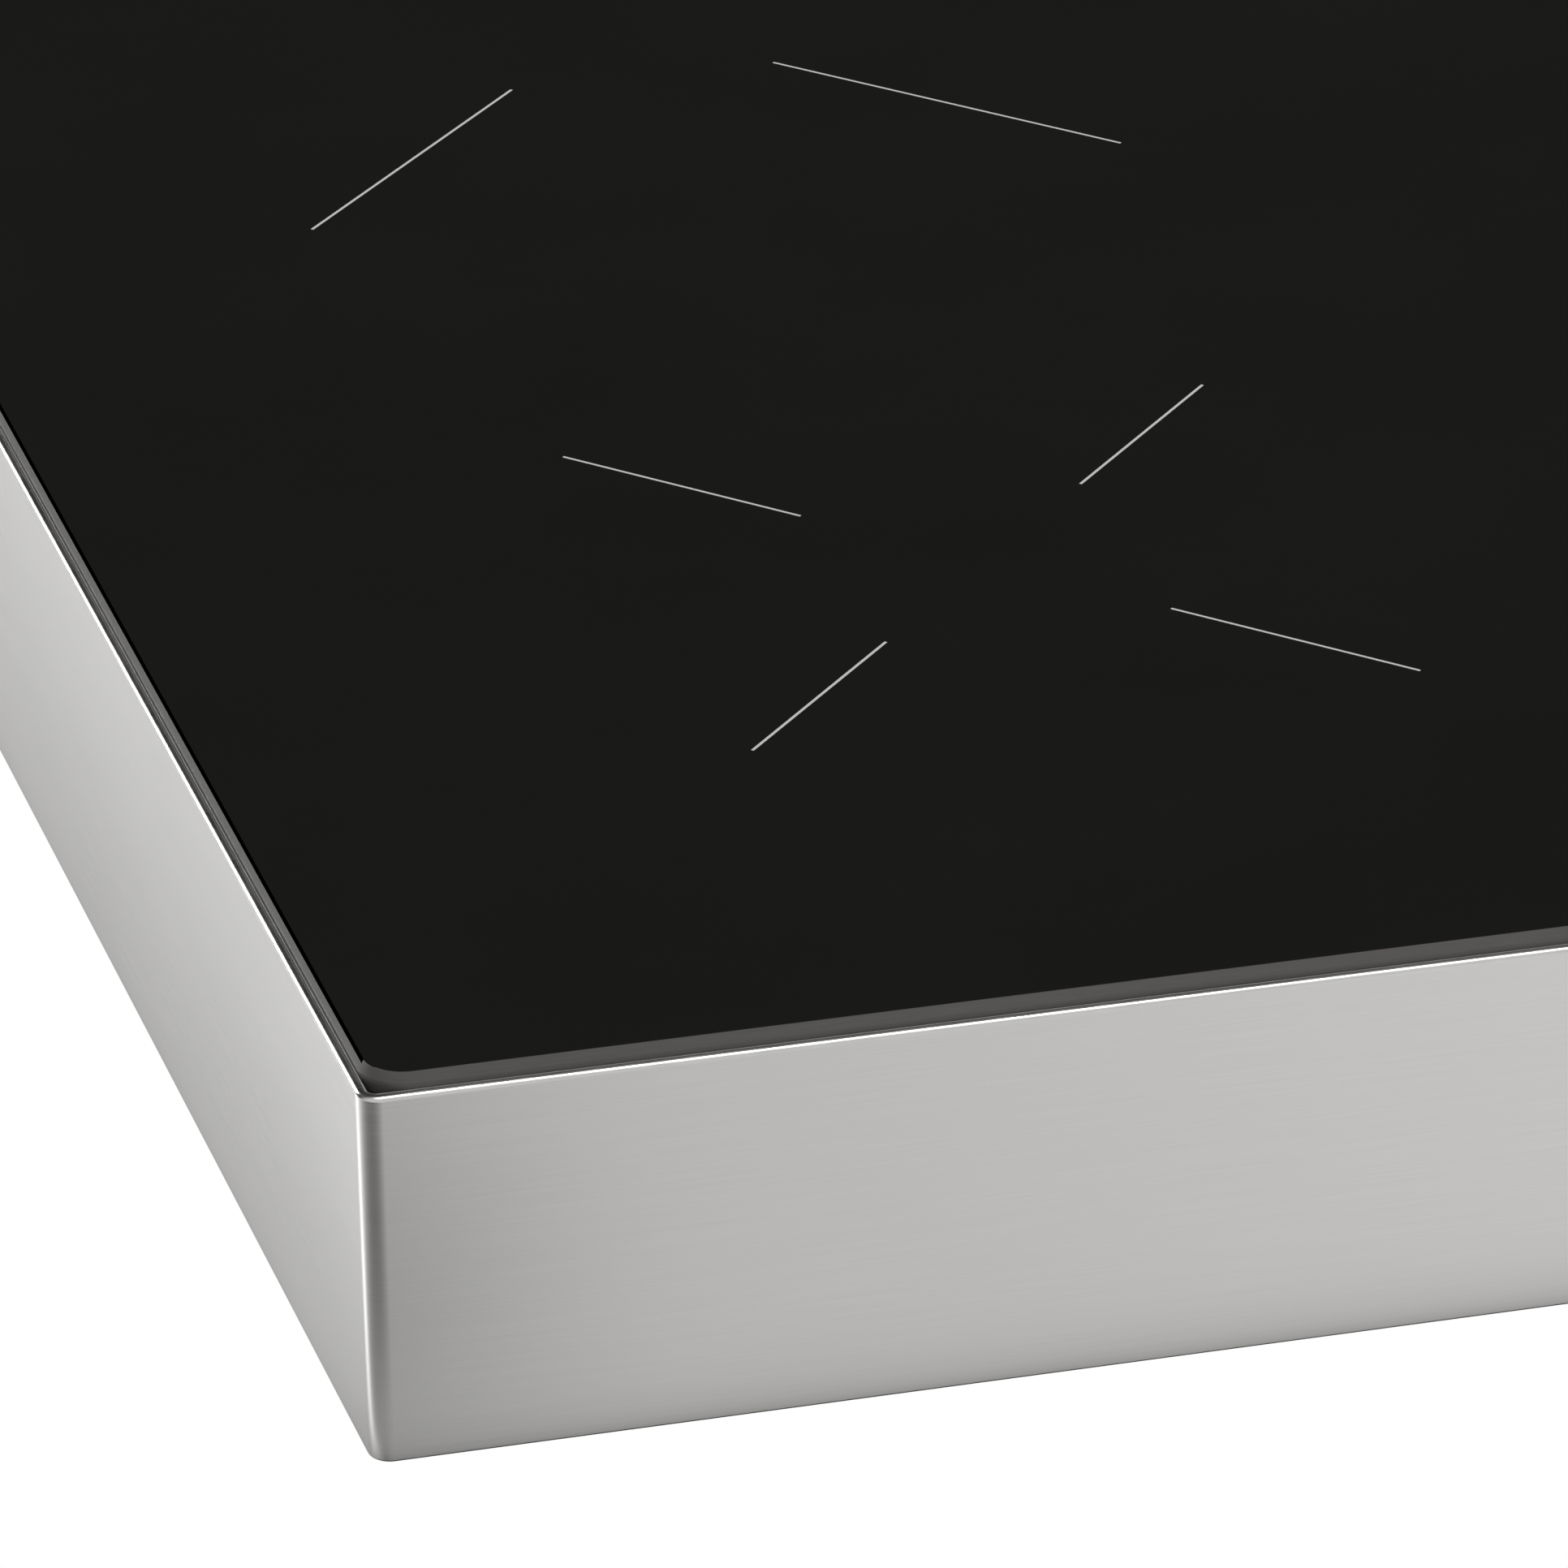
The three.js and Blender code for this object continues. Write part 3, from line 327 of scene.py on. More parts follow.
def ground_glass_edge():
    """The same glass where a wheel has ground its edge: matt, grey and finely scratched, with a
    painted dark reflection on part of its left side.
    """
    p = bpy.context.scene.cooktop_pane
    material, tree, shader = new_material(
        "glass_ceramic_ground_edge", p.ground, 0.0, 0.5, IOR=1.52)
    if tree:
        # Wheel marks run along the edge, about 0.2 mm apart.
        marks = pattern(tree, 0.25, (0.03, 0.03, 1))
        tint(shader, shift(marks, 0, 1), p.ground, 0.9, 1.1)
        relief(shader, marks, 0.01, 0.25)
        # Along the left the inner part of the bevel is painted black with its specular taken
        # away: a painted dark reflection of the polished facet.
        across = axes_of(place_of(tree))[0]
        facing = axes_of(node(tree, "ShaderNodeNewGeometry", out="True Normal"))
        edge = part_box("glass_pane")[0].x + 0.64 * p.bevel_width
        left = facing[0].math("LESS_THAN", -0.1) * facing[1].math("GREATER_THAN", -0.1)
        grey = 1.0 - across.math("GREATER_THAN", edge) * left
        ground = Value(tree, shader.inputs["Base Color"].links[0].from_socket)
        drive(shader, "Base Color", node(tree, "ShaderNodeVectorMath", {
            0: ground, "Scale": grey}, operation="SCALE"))
        drive(shader, "Specular IOR Level", grey * 0.5)
    return material


def printed_enamel():
    """Fired-on ceramic ink: light grey, matt and very slightly broken at its edges."""
    tone = bpy.context.scene.cooktop_pane.print_colour
    material, tree, shader = new_material("enamel_print_grey", tone, 0.0, 0.55)
    if tree:
        tint(shader, shift(pattern(tree, 0.3, detail=2), 0, 1), tone, 0.86, 1.05)
    return material


def galvanised_sheet():
    """Hot-dip galvanised steel: flat grey crystals of zinc a few millimetres across."""
    tone = from_hex("9FA3A4")
    material, tree, shader = new_material("steel_galvanised", tone, 0.9, 0.42)
    if tree:
        spangle = node(tree, "ShaderNodeTexVoronoi", {
            "Vector": place_of(tree), "Scale": 1 / (7 * MM)}, "Color")
        level = node(tree, "ShaderNodeSeparateColor", {"Color": spangle})
        tint(shader, level, tone, 0.8, 1.15)
        drive(shader, "Roughness", node(tree, "ShaderNodeMapRange", {
            "Value": Value(tree, level.socket.node.outputs[1]), "To Min": 0.34,
            "To Max": 0.52}))
    return material


def litz_copper():
    """Litz wire: hundreds of enamelled copper strands twisted together, so its surface is ribbed
    on the slant and glints in a red-brown tone."""
    tone = bpy.context.scene.cooktop_coils.copper
    material, tree, shader = new_material("copper_litz_enamelled", tone, 0.85, 0.38)
    if tree:
        # Strands are 0.3 mm; they are drawn wider so that the twist shows.
        wave = node(tree, "ShaderNodeTexWave", {
            "Vector": place_of(tree), "Scale": 1 / (3 * MM), "Distortion": 3.0,
            "Detail": 2.0}, "Fac", bands_direction="DIAGONAL")
        tint(shader, wave, tone, 0.6, 1.2)
        relief(shader, wave, 0.15, 0.7)
    return material


def pressed_mica():
    """Pressed mica sheet: overlapping golden flakes under a resin sheen."""
    tone = from_hex("BFA878")
    material, tree, shader = new_material("mica_pressed", tone, 0.0, 0.32)
    if tree:
        flakes = node(tree, "ShaderNodeTexVoronoi", {
            "Vector": place_of(tree), "Scale": 1 / (3.5 * MM)}, "Distance",
            feature="SMOOTH_F1")
        tint(shader, flakes, tone, 0.8, 1.15)
        relief(shader, flakes, 0.03, 0.5)
    return material


def circuit_board():
    """Glass-epoxy board under green solder mask: glossy, with copper tracks showing as slightly
    lighter, raised paths."""
    tone = bpy.context.scene.cooktop_power.board_green
    material, tree, shader = new_material("epoxy_board_green_mask", tone, 0.0, 0.35)
    if tree:
        tracks = node(tree, "ShaderNodeTexBrick", {
            "Vector": place_of(tree), "Scale": 1 / (9 * MM), "Mortar Size": 0.06,
            "Mortar Smooth": 0.1}, "Fac", offset=0.37, squash=1.4)
        tint(shader, tracks, tone, 0.8, 1.5)
        relief(shader, tracks, 0.04, 0.6)
    return material


def plain(name, code, roughness, size_mm, spread=0.12, depth_mm=0.0, metallic=0.0,
          stretch=(1, 1, 1), detail=3.0, rough_spread=0.06):
    """A finish whose tone and gloss vary with one grain of a given size."""
    tone = from_hex(code)
    material, tree, shader = new_material(name, tone, metallic, roughness)
    if tree:
        grain = pattern(tree, size_mm, stretch, detail)
        tint(shader, shift(grain, 0, 1), tone, 1 - spread, 1 + spread)
        drive(shader, "Roughness", shift(grain, roughness - rough_spread,
                                         roughness + rough_spread))
        if depth_mm:
            relief(shader, grain, depth_mm, 0.5)
    return material


def silicone_sealant():
    """Grey silicone, tooled smooth: soft, dull, with slight waves."""
    return plain("silicone_grey", "5E5E5C", 0.4, 4, depth_mm=0.03)


def mill_aluminium():
    """Rolled aluminium sheet: bright grey with long faint roll lines."""
    return plain("aluminium_rolled", "B9BCBE", 0.36, 0.8, 0.05, 0.003, 1.0, (0.02, 1, 1))


def extruded_aluminium():
    """Extruded aluminium: die lines along the bar."""
    return plain("aluminium_extruded", "C2C5C7", 0.33, 0.5, 0.05, 0.004, 1.0, (1, 0.02, 1))


def sintered_ferrite():
    """Sintered ferrite: charcoal ceramic with a fine dull grit."""
    return plain("ferrite_sintered", "2C2C2F", 0.55, 0.5, 0.25, 0.02)


def ceramic_fibre():
    """Needled ceramic-fibre felt: off-white, fluffy and quite matt."""
    return plain("ceramic_fibre_felt", "E4E0D6", 0.95, 0.9, 0.1, 0.35, detail=6,
                 rough_spread=0.03)


def spring_steel():
    """Drawn spring steel wire: dark bright metal with faint draw marks."""
    return plain("steel_spring_wire", "8C8F93", 0.28, 0.6, 0.08, metallic=1.0)


def black_moulding():
    """Glass-filled black polymer, moulded in an eroded tool: fine even sparkle, half matt."""
    return plain("polymer_black_moulded", "191A1A", 0.5, 0.6, 0.18, 0.02)


def grey_moulding():
    """Heat-proof grey polymer with faint flow marks."""
    return plain("polymer_grey_moulded", "7B7D7D", 0.5, 1.4, 0.07, 0.02)


def foot_rubber():
    """Moulded rubber with a dull bloom."""
    return plain("rubber_black_moulded", "1E1E1E", 0.85, 0.8, 0.2, 0.05)


def steatite():
    """Unglazed steatite ceramic: warm white and chalky."""
    return plain("steatite_unglazed", "DAD5C8", 0.6, 0.7, 0.06, 0.02)


def zinc_plated():
    """Zinc-plated steel fixings: pale blue-grey and softly bright."""
    return plain("steel_zinc_plated", "B5B9BC", 0.3, 1.0, 0.06, metallic=1.0)


def capacitor_film():
    """Epoxy-filled capacitor box: yellow moulded polyester."""
    return plain("polyester_yellow_moulded", "C9A02E", 0.42, 1.0, 0.05, 0.01)


def capacitor_sleeve():
    """Shrink sleeve round a can capacitor: dark, smooth and glossy."""
    return plain("pet_sleeve_dark", "23262E", 0.28, 2.0, 0.1)


def ferrite_choke():
    """Varnished toroid core: dark green-grey with a soft shine."""
    return plain("toroid_core_varnished", "3A4A44", 0.35, 1.0)


# ------------------------------------------------------------------ mesh helpers


def middle(name):
    low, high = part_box(name)
    return (low + high) / 2


def reach_of(name):
    """The radius of a round node."""
    low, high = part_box(name)
    return max(high.x - low.x, high.y - low.y) / 2


def new_object(name, data, materials=()):
    for material in materials:
        data.materials.append(material)
    obj = bpy.data.objects.new(name, data)
    bpy.context.scene.collection.objects.link(obj)
    return obj


def soften(obj, degrees=30):
    """Smooth shading except past an angle."""
    obj.data.polygons.foreach_set("use_smooth", [True] * len(obj.data.polygons))
    obj.data.set_sharp_from_angle(angle=math.radians(degrees))


def coat(name, material):
    """Gives a frame node its finish."""
    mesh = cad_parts[name].data
    mesh.materials.clear()
    mesh.materials.append(material)


def keep(obj, slot, *nodes, body=ROOT):
    """Hangs a finished piece on its body, hides the nodes it stands for and gives them its
    finish.
    """
    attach(obj, body)
    if nodes:
        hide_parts(*nodes)
    finish = next(material for material in obj.data.materials if material)
    for name in nodes:
        coat(name, finish)


def settle(obj, modifier):
    """Keeps what a modifier makes as a plain mesh, and removes the modifier."""
    depsgraph = bpy.context.evaluated_depsgraph_get()
    depsgraph.update()
    mesh = bpy.data.meshes.new_from_object(
        obj.evaluated_get(depsgraph), preserve_all_data_layers=True, depsgraph=depsgraph)
    obj.modifiers.remove(modifier)
    obj.data = mesh


def cut_away(obj, cutter):
    """Cuts one mesh out of another and removes the cutter."""
    cut = obj.modifiers.new("cut", "BOOLEAN")
    cut.operation = "DIFFERENCE"
    cut.solver = "EXACT"
    cut.object = cutter
    settle(obj, cut)
    bpy.data.objects.remove(cutter)


def recalculate(obj):
    """Merges doubles and turns every face outwards."""
    mesh = bmesh.new()
    mesh.from_mesh(obj.data)
    bmesh.ops.remove_doubles(mesh, verts=mesh.verts[:], dist=1e-6)
    bmesh.ops.recalc_face_normals(mesh, faces=mesh.faces[:])
    mesh.to_mesh(obj.data)
    mesh.free()


def circle(radius, steps, start=0.0, share=1.0):
    """Points round a circle, or along a share of it."""
    turns = [start + share * 2 * math.pi * i / steps for i in range(steps)]
    return [(radius * math.cos(a), radius * math.sin(a)) for a in turns]


def arc(cx, cz, radius, start, end, steps):
    """[across, up] points of an arc, angles in degrees."""
    turns = [math.radians(start + (end - start) * i / steps) for i in range(steps + 1)]
    return [(cx + radius * math.cos(a), cz + radius * math.sin(a)) for a in turns]


def plan_loop(half, inset, radius, z, segments=12, centre=(0, 0)):
    """Points round a rounded rectangle set in from its outline, anticlockwise from above."""
    turn = max(radius - inset, 0.5 * MM)
    points = []
    for quarter, (sx, sy) in enumerate(((1, 1), (-1, 1), (-1, -1), (1, -1))):
        cx = centre[0] + sx * (half.x - inset - turn)
        cy = centre[1] + sy * (half.y - inset - turn)
        points += [(x, y, z) for x, y in arc(
            cx, cy, turn, 90 * quarter, 90 * quarter + 90, segments)]
    return points


def sweep(name, loops, materials, kinds=None, closed=False, smooth_degrees=30, lean=None):
    """A piece that joins equal loops; open sweeps get end caps, and lean moves each vertex."""
    size = len(loops[0])
    verts = [point for loop in loops for point in loop]
    if lean:
        verts = [lean(*point) for point in verts]
    faces, which = [], []
    for i in range(len(loops) if closed else len(loops) - 1):
        here, there = i * size, ((i + 1) % len(loops)) * size
        for j in range(size):
            k = (j + 1) % size
            faces.append((here + j, here + k, there + k, there + j))
            which.append(kinds[i] if kinds else 0)
    if not closed:
        faces.append(tuple(reversed(range(size))))
        faces.append(tuple(range(len(verts) - size, len(verts))))
        which += [0, 0]
    mesh = bpy.data.meshes.new(name)
    mesh.from_pydata(verts, [], faces)
    obj = new_object(name, mesh, materials)
    for polygon, index in zip(mesh.polygons, which):
        polygon.material_index = index
    mesh.validate()
    soften(obj, smooth_degrees)
    return obj


class Solid:
    """A mesh put together from boxes, round bars and turned shapes."""

    def __init__(self):
        self.mesh = bmesh.new()

    def dress(self, verts, index, bevel, rims_only=False):
        """Sets the material of new faces and breaks their edges."""
        for face in {f for v in verts for f in v.link_faces}:
            face.material_index = index
        edges = list({e for v in verts for e in v.link_edges})
        if rims_only:
            edges = [e for e in edges if abs(e.verts[0].co.z - e.verts[1].co.z) < 1e-7]
        if bevel:
            bmesh.ops.bevel(self.mesh, geom=edges, offset=bevel, segments=2, affect="EDGES",
                            profile=0.5, material=index)
        return self

    def box(self, low, high, index=0, bevel=0.0):
        low, high = Vector(low), Vector(high)
        made = bmesh.ops.create_cube(self.mesh, size=1)["verts"]
        bmesh.ops.scale(self.mesh, vec=high - low, verts=made)
        bmesh.ops.translate(self.mesh, vec=(high + low) / 2, verts=made)
        return self.dress(made, index, bevel)

    def block(self, x, y, half_x, half_y, z0, z1, index=0, bevel=0.0):
        """A box about an upright axis."""
        return self.box((x - half_x, y - half_y, z0), (x + half_x, y + half_y, z1), index, bevel)

    def bar(self, x, y, radius, z0, z1, index=0, sides=24, bevel=0.0):
        """A round bar about an upright axis."""
        made = bmesh.ops.create_cone(
            self.mesh, cap_ends=True, segments=sides, radius1=radius, radius2=radius,
            depth=z1 - z0)["verts"]
        bmesh.ops.translate(self.mesh, vec=(x, y, (z0 + z1) / 2), verts=made)
        return self.dress(made, index, bevel, rims_only=True)

    def turned(self, x, y, profile, sides=48):
        """A turned shape from (radius, height) points that start and end on the axis or close
        on themselves."""
        solid = profile[0][0] < 1e-9
        rings = [[self.mesh.verts.new((x + dx, y + dy, z))
                  for dx, dy in circle(radius, sides if radius > 1e-9 else 1)]
                 for radius, z in (profile if solid else profile[:-1])]
        pairs = list(zip(rings, rings[1:])) + ([] if solid else [(rings[-1], rings[0])])
        made = []
        for low, high in pairs:
            for i in range(sides):
                j = (i + 1) % sides
                corners = dict.fromkeys((low[i % len(low)], low[j % len(low)],
                                         high[j % len(high)], high[i % len(high)]))
                if len(corners) > 2:
                    made.append(self.mesh.faces.new(list(corners)))
        bmesh.ops.recalc_face_normals(self.mesh, faces=made)
        return self

    def piece(self, name, *materials, smooth_degrees=30, turn=None):
        """Ends the mesh as an object."""
        if turn:
            self.mesh.transform(turn)
        data = bpy.data.meshes.new(name)
        self.mesh.to_mesh(data)
        self.mesh.free()
        obj = new_object(name, data, materials)
        soften(obj, smooth_degrees)
        return obj


def along_y(x, y, z):
    """Lays what stands about the Z axis along Y, at a place."""
    return Matrix.Translation((x, y, z)) @ Matrix.Rotation(math.pi / 2, 4, "X")


# ------------------------------------------------------------------ geometry node helpers


def xyz(tree, x=0.0, y=0.0, z=0.0):
    return node(tree, "ShaderNodeCombineXYZ", {"X": x, "Y": y, "Z": z})


def moved(geometry, x=0.0, y=0.0, z=0.0, turn=(0, 0, 0), scale=(1, 1, 1)):
    return node(geometry.tree, "GeometryNodeTransform", {
        "Geometry": geometry, "Translation": xyz(geometry.tree, x, y, z), "Rotation": turn,
        "Scale": scale})


def joined(*parts):
    whole = node(parts[0].tree, "GeometryNodeJoinGeometry")
    for part in parts:
        whole.tree.links.new(part.socket, whole.socket.node.inputs[0])
    return whole


def copies(points, piece, **settings):
    """A copy of a piece on each point."""
    return node(piece.tree, "GeometryNodeInstanceOnPoints", {
        "Points": points, "Instance": piece, **settings})


def outline(tree, width, height):
    return node(tree, "GeometryNodeCurvePrimitiveQuadrilateral", {
        "Width": width, "Height": height})


def slab(tree, width, length, height, radius, segments=3):
    """A slab on Z = 0 about the origin, with round upright corners."""
    rounded = node(tree, "GeometryNodeFilletCurve", {
        "Curve": outline(tree, width, length), "Radius": radius, "Count": segments}, mode="POLY")
    face = node(tree, "GeometryNodeFillCurve", {"Curve": rounded})
    thick = node(tree, "GeometryNodeExtrudeMesh", {
        "Mesh": face, "Offset": xyz(tree, z=height), "Offset Scale": 1.0, "Individual": False})
    under = node(tree, "GeometryNodeFlipFaces", {"Mesh": face})
    return node(tree, "GeometryNodeMergeByDistance", {
        "Geometry": joined(thick, under), "Distance": 1e-6})


def ring_of(piece, number, start=0.0):
    """Copies of a piece round the Z axis, the first turned by a share of the pitch."""
    tree = piece.tree
    turn = (node(tree, "GeometryNodeInputIndex") + start) * (2 * math.pi / number)
    return copies(node(tree, "GeometryNodePoints", {"Count": number}), piece,
                  Rotation=xyz(tree, z=turn))


def row_of(piece, number, pitch):
    """Copies of a piece in a row along X about the origin."""
    start = pitch * (number - 1.0) * -0.5
    return copies(node(piece.tree, "GeometryNodeMeshLine", {
        "Count": number, "Offset": xyz(piece.tree, pitch),
        "Start Location": xyz(piece.tree, start)}), piece)


def round_bar(tree, radius, height, sides, bottom):
    """A round bar about the Z axis that stands on a height."""
    return moved(node(tree, "GeometryNodeMeshCylinder", {
        "Vertices": sides, "Radius": radius, "Depth": height}), z=height * 0.5 + bottom)


def along(path, section, caps=False):
    """A section drawn along a path."""
    return node(path.tree, "GeometryNodeCurveToMesh", {
        "Curve": path, "Profile Curve": section, "Fill Caps": caps})


def circle_path(tree, radius, sides):
    return node(tree, "GeometryNodeCurvePrimitiveCircle", {"Resolution": sides, "Radius": radius})


def hoop(tree, radius, width, height, sides):
    """A ring of rectangular section about the Z axis, centred on Z = 0."""
    return along(circle_path(tree, radius, sides), outline(tree, width, height))


def coiled(tree, wire, sides, resolution, turns, start, end, height):
    """Round wire along a spiral."""
    path = node(tree, "GeometryNodeCurveSpiral", {
        "Resolution": resolution, "Rotations": turns, "Start Radius": start, "End Radius": end,
        "Height": height})
    return along(path, circle_path(tree, wire, sides), True)


def tree_for(build, material, sizes):
    """A geometry tree with an input for each size, which sets what a builder makes on each
    point, then realizes it and gives it its material."""
    tree = bpy.data.node_groups.new(build.__name__, "GeometryNodeTree")
    kinds = {name: "Int" if isinstance(size, int) else "Float" for name, size in sizes.items()}
    for label, kind in {"Geometry": "Geometry", **kinds}.items():
        tree.interface.new_socket(name=label, in_out="INPUT", socket_type="NodeSocket" + kind)
    tree.interface.new_socket(name="Geometry", in_out="OUTPUT", socket_type="NodeSocketGeometry")
    entry = tree.nodes.new("NodeGroupInput").outputs
    made = build(tree, **{name: Value(tree, entry[name]) for name in sizes})
    real = node(tree, "GeometryNodeRealizeInstances", {
        "Geometry": copies(Value(tree, entry["Geometry"]), made)})
    painted = node(tree, "GeometryNodeSetMaterial", {"Geometry": real, "Material": material})
    node(tree, "NodeGroupOutput", {"Geometry": painted})
    return tree


def grow(name, build, material, points, smooth_degrees=35, **sizes):
    """Runs a builder's tree on points and keeps a plain mesh."""
    tree = bpy.data.node_groups.get(build.__name__) or tree_for(build, material, sizes)
    seed = bpy.data.meshes.new(name + "_seed")
    seed.from_pydata([tuple(p) for p in points], [], [])
    obj = new_object(name, seed)
    modifier = obj.modifiers.new("tree", "NODES")
    modifier.node_group = tree
    for item in tree.interface.items_tree:
        if item.name in sizes:
            modifier[item.identifier] = sizes[item.name]
    settle(obj, modifier)
    bpy.data.meshes.remove(seed)
    if not obj.data.polygons:
        raise RuntimeError(f"{name}: its tree made no faces")
    recalculate(obj)
    soften(obj, smooth_degrees)
    return obj


def screw_heads(tree, radius, height):
    """A domed screw head with a cross recess, its axis along +Z."""
    head = node(tree, "GeometryNodeMeshUVSphere", {
        "Segments": 20, "Rings": 12, "Radius": radius})
    cut = node(tree, "GeometryNodeMeshBoolean", {
        "Mesh 1": moved(head, scale=xyz(tree, 1.0, 1.0, height / radius))},
        operation="DIFFERENCE", solver="EXACT")
    long_side, short_side = radius * 1.15, radius * 0.26
    for x, y in ((long_side, short_side), (short_side, long_side)):
        bar = moved(node(tree, "GeometryNodeMeshCube", {"Size": xyz(tree, x, y, height)}),
                    z=height)
        tree.links.new(bar.socket, cut.socket.node.inputs["Mesh 2"])
    return cut


def screws(name, points, radius=3.0, height=1.8, down=False):
    """Screw heads on points, facing up or down, as one piece."""
    flipped = [(x, -y, -z) for x, y, z in points] if down else points
    piece = grow(name, screw_heads, zinc_plated(), flipped, 40,
                 radius=radius * MM, height=height * MM)
    if down:
        piece.data.transform(Matrix.Rotation(math.pi, 4, "X"))
    keep(piece, "spring_steel")


# ------------------------------------------------------------------ skirt


def air_slots(tree, width, height, depth, pitch, number):
    """Upright slots with round ends, in a row along X."""
    bar = slab(tree, width, height, depth, width * 0.48, 6)
    return row_of(moved(bar, y=depth * 0.5, turn=(math.pi / 2, 0, 0)), number, pitch)


class COOKTOP_OT_skirt(bpy.types.Operator):
    """Makes the folded steel skirt, with its lip, ledge, air slots and cable hole"""

    bl_idname = "cooktop.skirt"
    bl_label = "Steel skirt"

    def execute(self, context):
        s = context.scene.cooktop_skirt
        low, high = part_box("steel_frame")
        ledge_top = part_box("pane_seal")[0].z - GAP
        ledge_in = s.wall + s.ledge_width
        steps = 4
        profile = arc(s.foot_edge, low.z + s.foot_edge, s.foot_edge, 270, 180, steps)
        profile += arc(s.lip, high.z - s.lip, s.lip, 180, 90, 10)
        profile += arc(s.wall - s.inner_lip, high.z - s.inner_lip, s.inner_lip, 90, 0, steps)
        bent = range(steps + 1, len(profile) - 1)
        profile += [
            (s.wall, ledge_top), (ledge_in, ledge_top), (ledge_in, ledge_top - s.ledge_thick),
            (s.wall, ledge_top - s.ledge_thick), (s.wall, low.z),
        ]
        slope = s.lean / (high.z - low.z)

        def lean(x, y, z):
            inward = slope * (high.z - z)
            return x - math.copysign(inward, x), y - math.copysign(inward, y), z

        skirt = sweep(
            "skirt", [plan_loop(high, inset, s.corner, z, 16) for inset, z in profile],
            [brushed_stainless(), bent_stainless()],
            [int(i in bent) for i in range(len(profile))], True, 40, lean)
        self.cut_openings(skirt, s, high.y)
        even = skirt.modifiers.new("even", "WEIGHTED_NORMAL")
        even.keep_sharp = True
        even.weight = 100
        settle(skirt, even)
        keep(skirt, "stainless", "steel_frame")
        return {"FINISHED"}

    def cut_openings(self, skirt, s, back):
        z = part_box("heat_sink_left")[0].z - GAP + 1 * MM + s.vent_height / 2
        slots = grow(
            "slot_cutter", air_slots, brushed_stainless(),
            [(middle(f"heat_sink_{side}").x, back, z) for side in SIDES], width=s.vent_width,
            height=s.vent_height, depth=8 * s.wall, pitch=s.vent_pitch, number=s.vent_count)
        cut_away(skirt, slots)
        spot, nose = middle("cable_grommet"), 7.8 * MM
        hole = Solid().bar(0, 0, nose, -4 * s.wall, 4 * s.wall, sides=48)
        cut_away(skirt, hole.piece("hole_cutter", brushed_stainless(),
                                   turn=along_y(spot.x, back, spot.z)))


# ------------------------------------------------------------------ pane


def zone_marks(tree, start, end, width, thickness):
    """The four marks of a cooking zone: flat bars on the diagonals."""
    bar = node(tree, "GeometryNodeMeshCube", {"Size": xyz(tree, end - start, width, thickness)})
    out = moved(bar, (end + start) * 0.5)
    return joined(*[moved(out, turn=(0, 0, math.pi / 4 + quarter * math.pi / 2))
                    for quarter in range(4)])


class COOKTOP_OT_pane(bpy.types.Operator):
    """Makes the glass-ceramic pane, the sealant round it and the zone marks"""

    bl_idname = "cooktop.pane"
    bl_label = "Glass pane"

    def execute(self, context):
        p = context.scene.cooktop_pane
        low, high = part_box("glass_pane")
        a = p.arris
        slope = math.atan2(p.bevel_height, p.bevel_width)
        along_bevel, up_bevel = a * math.cos(slope), a * math.sin(slope)
        knee, rim = high.z - p.bevel_height, p.bevel_width
        profile = [
            (a, low.z), (0, low.z + a), (0, knee - a), (along_bevel, knee + up_bevel),
            (rim - along_bevel, high.z - up_bevel), (rim - a * 0.2, high.z - a * 0.15),
            (rim + a, high.z),
        ]
        pane = sweep("pane", [plan_loop(high, inset, p.corner, z, 16) for inset, z in profile],
                     [black_glass_ceramic(), ground_glass_edge()], [1] * len(profile),
                     smooth_degrees=20)
        keep(pane, "glass_ceramic")
        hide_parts("glass_pane")
        self.sealant(context.scene.cooktop_skirt, high.x, low.z)
        for zone in ZONES:
            self.marks(p, zone, high.z)
        return {"FINISHED"}

    def sealant(self, s, pane_edge, bottom):
        """A tooled bead that fills the joint between the pane and the skirt's lip."""
        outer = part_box("steel_frame")[1]
        top = outer.z - 0.15 * MM
        gap = outer.x - pane_edge
        sag, lap, clear = 0.1 * MM, 0.15 * MM, 0.01 * MM
        profile = [
            (s.wall - lap, bottom), (s.wall - lap, outer.z - 0.03 * MM),
            ((s.wall + gap) / 2, top - sag), (gap - clear, top), (gap - clear, bottom),
        ]
        bead = sweep("sealant_bead",
                     [plan_loop(outer, inset, s.corner, z, 16) for inset, z in profile],
                     [silicone_sealant()], closed=True, smooth_degrees=50)
        keep(bead, "sealant")
        coat("pane_seal", silicone_sealant())

    def marks(self, p, zone, top):
        large = 2 * reach_of(f"mica_disc_{zone}") > (p.large_zone + p.small_zone) / 2
        spot = middle(f"mica_disc_{zone}")
        piece = grow(f"zone_marks_{zone}", zone_marks, printed_enamel(), [(spot.x, spot.y, top)],
                     start=p.mark_start, end=(p.large_zone if large else p.small_zone) / 2,
                     width=p.mark_width, thickness=0.06 * MM)
        keep(piece, "glass_ceramic")


# ------------------------------------------------------------------ tray and feet


def inlet_slots(tree, radius, margin, slot, depth, number):
    """A fan's air slots: parallel bars cut to a circle."""
    share = node(tree, "GeometryNodeInputIndex") / (number - 1.0) - 0.5
    x = share * ((radius - margin) * 2.0)
    long_side = (radius.math("POWER", 2.0) - x.math("POWER", 2.0)).math("SQRT") * 2.0
    points = node(tree, "GeometryNodePoints", {"Count": number, "Position": xyz(tree, x)})
    return copies(points, node(tree, "GeometryNodeMeshCube"),
                  Scale=xyz(tree, slot, long_side, depth))


